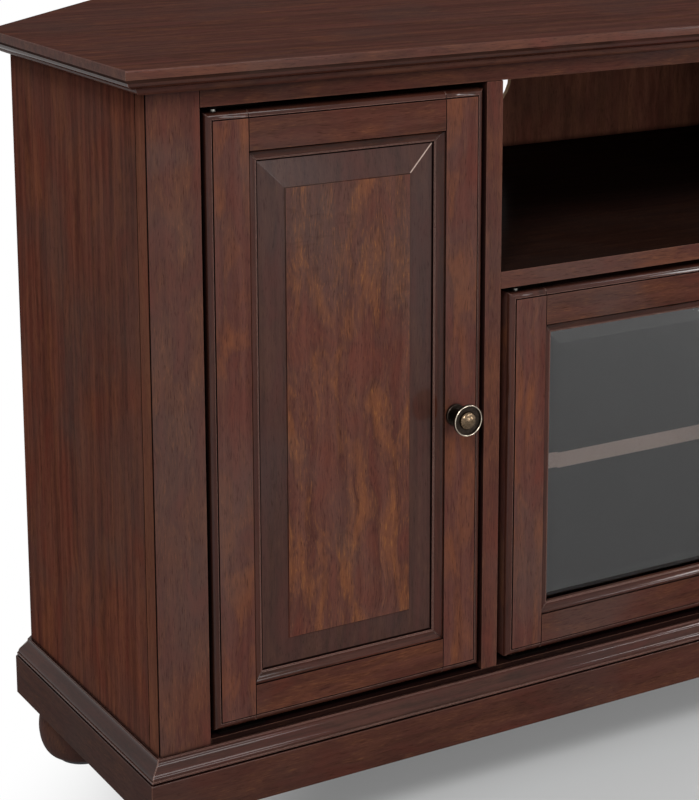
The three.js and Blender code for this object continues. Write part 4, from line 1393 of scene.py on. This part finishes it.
@dataclass
class BackScrews:
    """Screws that hold the thin back panel."""

    stock: Stock
    columns: tuple[float, ...] = (-372.0, -292.0, 0.0, 292.0, 372.0)
    rows: tuple[float, ...] = (104.0, 200.0, 300.0, 433.0, 520.0, 590.0)
    middle_rows: tuple[float, ...] = (104.0, 433.0, 590.0)
    back: float = 459.0
    head_radius: float = 3.2

    def build(self) -> None:
        """Model one head and copy it over the back."""
        turn = Matrix.Rotation(-math.pi / 2, 4, "X")
        pattern = Screw(radius=self.head_radius).build("back_screw_pattern", Matrix.Identity(4))
        spots = [(x, z) for x in self.columns for z in (self.rows if x else self.middle_rows)]
        piece = join_pieces([
            copy_to(pattern, f"back_screw_{index}", Matrix.Translation(place(x, self.back, z)) @ turn)
            for index, (x, z) in enumerate(spots)
        ])
        bpy.data.objects.remove(pattern)
        piece.name = piece.data.name = "back_panel_screws"
        shade(piece)
        dress(piece, "back_panel", self.stock.zinc, slot="hinge_steel")


@dataclass(frozen=True)
class SoftBox:
    """Soft lamp that faces one point: places and size in metres, power in watts."""

    name: str
    spot: Point
    aim: Point
    power: float
    size: Pair

    def hang(self) -> None:
        """Hang the lamp."""
        lamp = bpy.data.lights.new(self.name, "AREA")
        lamp.shape, lamp.energy = "RECTANGLE", self.power
        lamp.size, lamp.size_y = self.size
        holder = new_object(self.name, lamp)
        holder.location = self.spot
        holder.rotation_euler = (Vector(self.aim) - Vector(self.spot)).to_track_quat("-Z", "Y").to_euler()


@dataclass
class Studio:
    """Pale floor, white surround, soft lamps and the camera, in metres and degrees."""

    floor_size: float = 30.0
    floor_tone: str = "#bcbdbd"
    pool_middle: Point = (0.5, -0.8, 0)
    pool_size: Point = (1.9, 1.6, 1)
    pool_edge: Pair = (0.62, 0.78)
    pool_glow: float = 0.15
    ambient: float = 0.42
    camera_spot: Point = (-1.1814, -1.5433, 0.8294)
    camera_dip: float = 11.757
    camera_turn: float = -30.78
    lens: float = 94.814
    sensor_width: float = 36.0
    lens_shift: Pair = (-0.04, -0.25)
    lamps: tuple[SoftBox, ...] = (
        SoftBox("key_soft_box", (-2.1, -2.1, 2.4), (-0.2, 0, 0.35), 47, (0.8, 0.8)),
        SoftBox("front_soft_box", (0.5, -2.3, 2.5), (-0.1, 0, 0.35), 18, (1.0, 0.8)),
        SoftBox("low_soft_box", (0.4, -3.2, 0.8), (0.0, 0, 0.45), 18, (1.0, 0.8)),
        SoftBox("strip_soft_box", (1.2, -1.8, 0.7), (-0.38, -0.2, 0.5), 6, (0.12, 0.6)),
        SoftBox("moulding_soft_box", (1.75, -1.4, 2.0), (0.1, -0.2, 0.2), 9, (1.1, 0.12)),
        SoftBox("overhead_soft_box", (0.0, 0.4, 2.9), (0, 0, 0.5), 8, (1.6, 1.2)),
    )

    def build_floor(self) -> None:
        """Lay the floor: pale, with a grey pool in front of the cabinet and white beyond it."""
        bpy.ops.mesh.primitive_plane_add(size=self.floor_size)
        floor = bpy.context.object
        floor.name = "studio_floor"
        material, tree = blank_material("matt white studio floor")
        pool = add_node(tree, "Mapping", {
            "Vector": add_node(tree, "TexCoord").outputs["Object"], "Location": self.pool_middle,
            "Scale": self.pool_size}, vector_type="TEXTURE")
        distance = add_node(tree, "VectorMath", {0: pool}, operation="LENGTH")
        white = add_node(tree, "MapRange", {
            "Value": distance.outputs["Value"], "From Min": self.pool_edge[0], "From Max": self.pool_edge[1],
            "To Min": self.pool_glow}, interpolation_type="SMOOTHSTEP")
        share = add_node(tree, "Math", {0: rays_that_see_white(tree), 1: white}, operation="MULTIPLY")
        matt = add_node(tree, "BsdfDiffuse", {"Color": linear(self.floor_tone)})
        glow = add_node(tree, "Emission", {"Color": (1, 1, 1, 1), "Strength": 1.0})
        mixed = add_node(tree, "MixShader", {0: share, 1: matt, 2: glow})
        add_node(tree, "OutputMaterial", {"Surface": mixed})
        floor.data.materials.append(material)

    def build_world(self) -> None:
        """Light the room evenly, and show it white to the camera and to gloss and glass."""
        world = bpy.data.worlds.new("white studio")
        bpy.context.scene.world = world
        world.use_nodes = True
        tree = world.node_tree
        tree.nodes.clear()
        strength = add_node(tree, "MapRange", {
            "Value": rays_that_see_white(tree), "To Min": self.ambient, "To Max": 1.0})
        light = add_node(tree, "Background", {"Color": (1, 1, 1, 1), "Strength": strength})
        add_node(tree, "OutputWorld", {"Surface": light})

    def build_camera(self) -> None:
        """Stand the camera where the photograph was taken from."""
        lens = bpy.data.cameras.new("view_camera")
        lens.lens, lens.sensor_width = self.lens, self.sensor_width
        lens.shift_x, lens.shift_y = self.lens_shift
        holder = new_object("view_camera", lens)
        holder.location = self.camera_spot
        holder.rotation_euler = (math.radians(90 - self.camera_dip), 0, math.radians(self.camera_turn))
        bpy.context.scene.camera = holder

    def build(self) -> None:
        """Set up the whole studio."""
        bpy.context.scene.view_settings.view_transform = "Standard"
        self.build_floor()
        self.build_world()
        for lamp in self.lamps:
            lamp.hang()
        self.build_camera()


def doors(stock: Stock) -> Iterable[FramedDoor]:
    """The side door and the glass door of each side.

    Args:
        stock: Shared materials.

    Returns:
        The doors, not yet built.
    """
    for side in Side:
        yield FramedDoor(stock, f"{side.word}_door", side, hinge_edge=538.1, width=236.6, height=469.9,
                         case_top=591.0, knob_z=331.0, glazed=False)
        yield FramedDoor(stock, f"{side.word}_glass_door", side, hinge_edge=275.5, width=274.5, height=305.0,
                         case_top=426.5, knob_z=276.0, glazed=True)


def main() -> None:
    """Build the cabinet and its studio."""
    logging.basicConfig(level=logging.INFO, format="%(name)s %(message)s")
    stock = Stock()
    Studio().build()
    for part in (TopBoard(), Plinth(), CaseBoards(stock), BunFeet(stock), BackScrews(stock), *doors(stock)):
        part.build()
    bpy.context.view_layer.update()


if __name__ == "__main__":
    main()
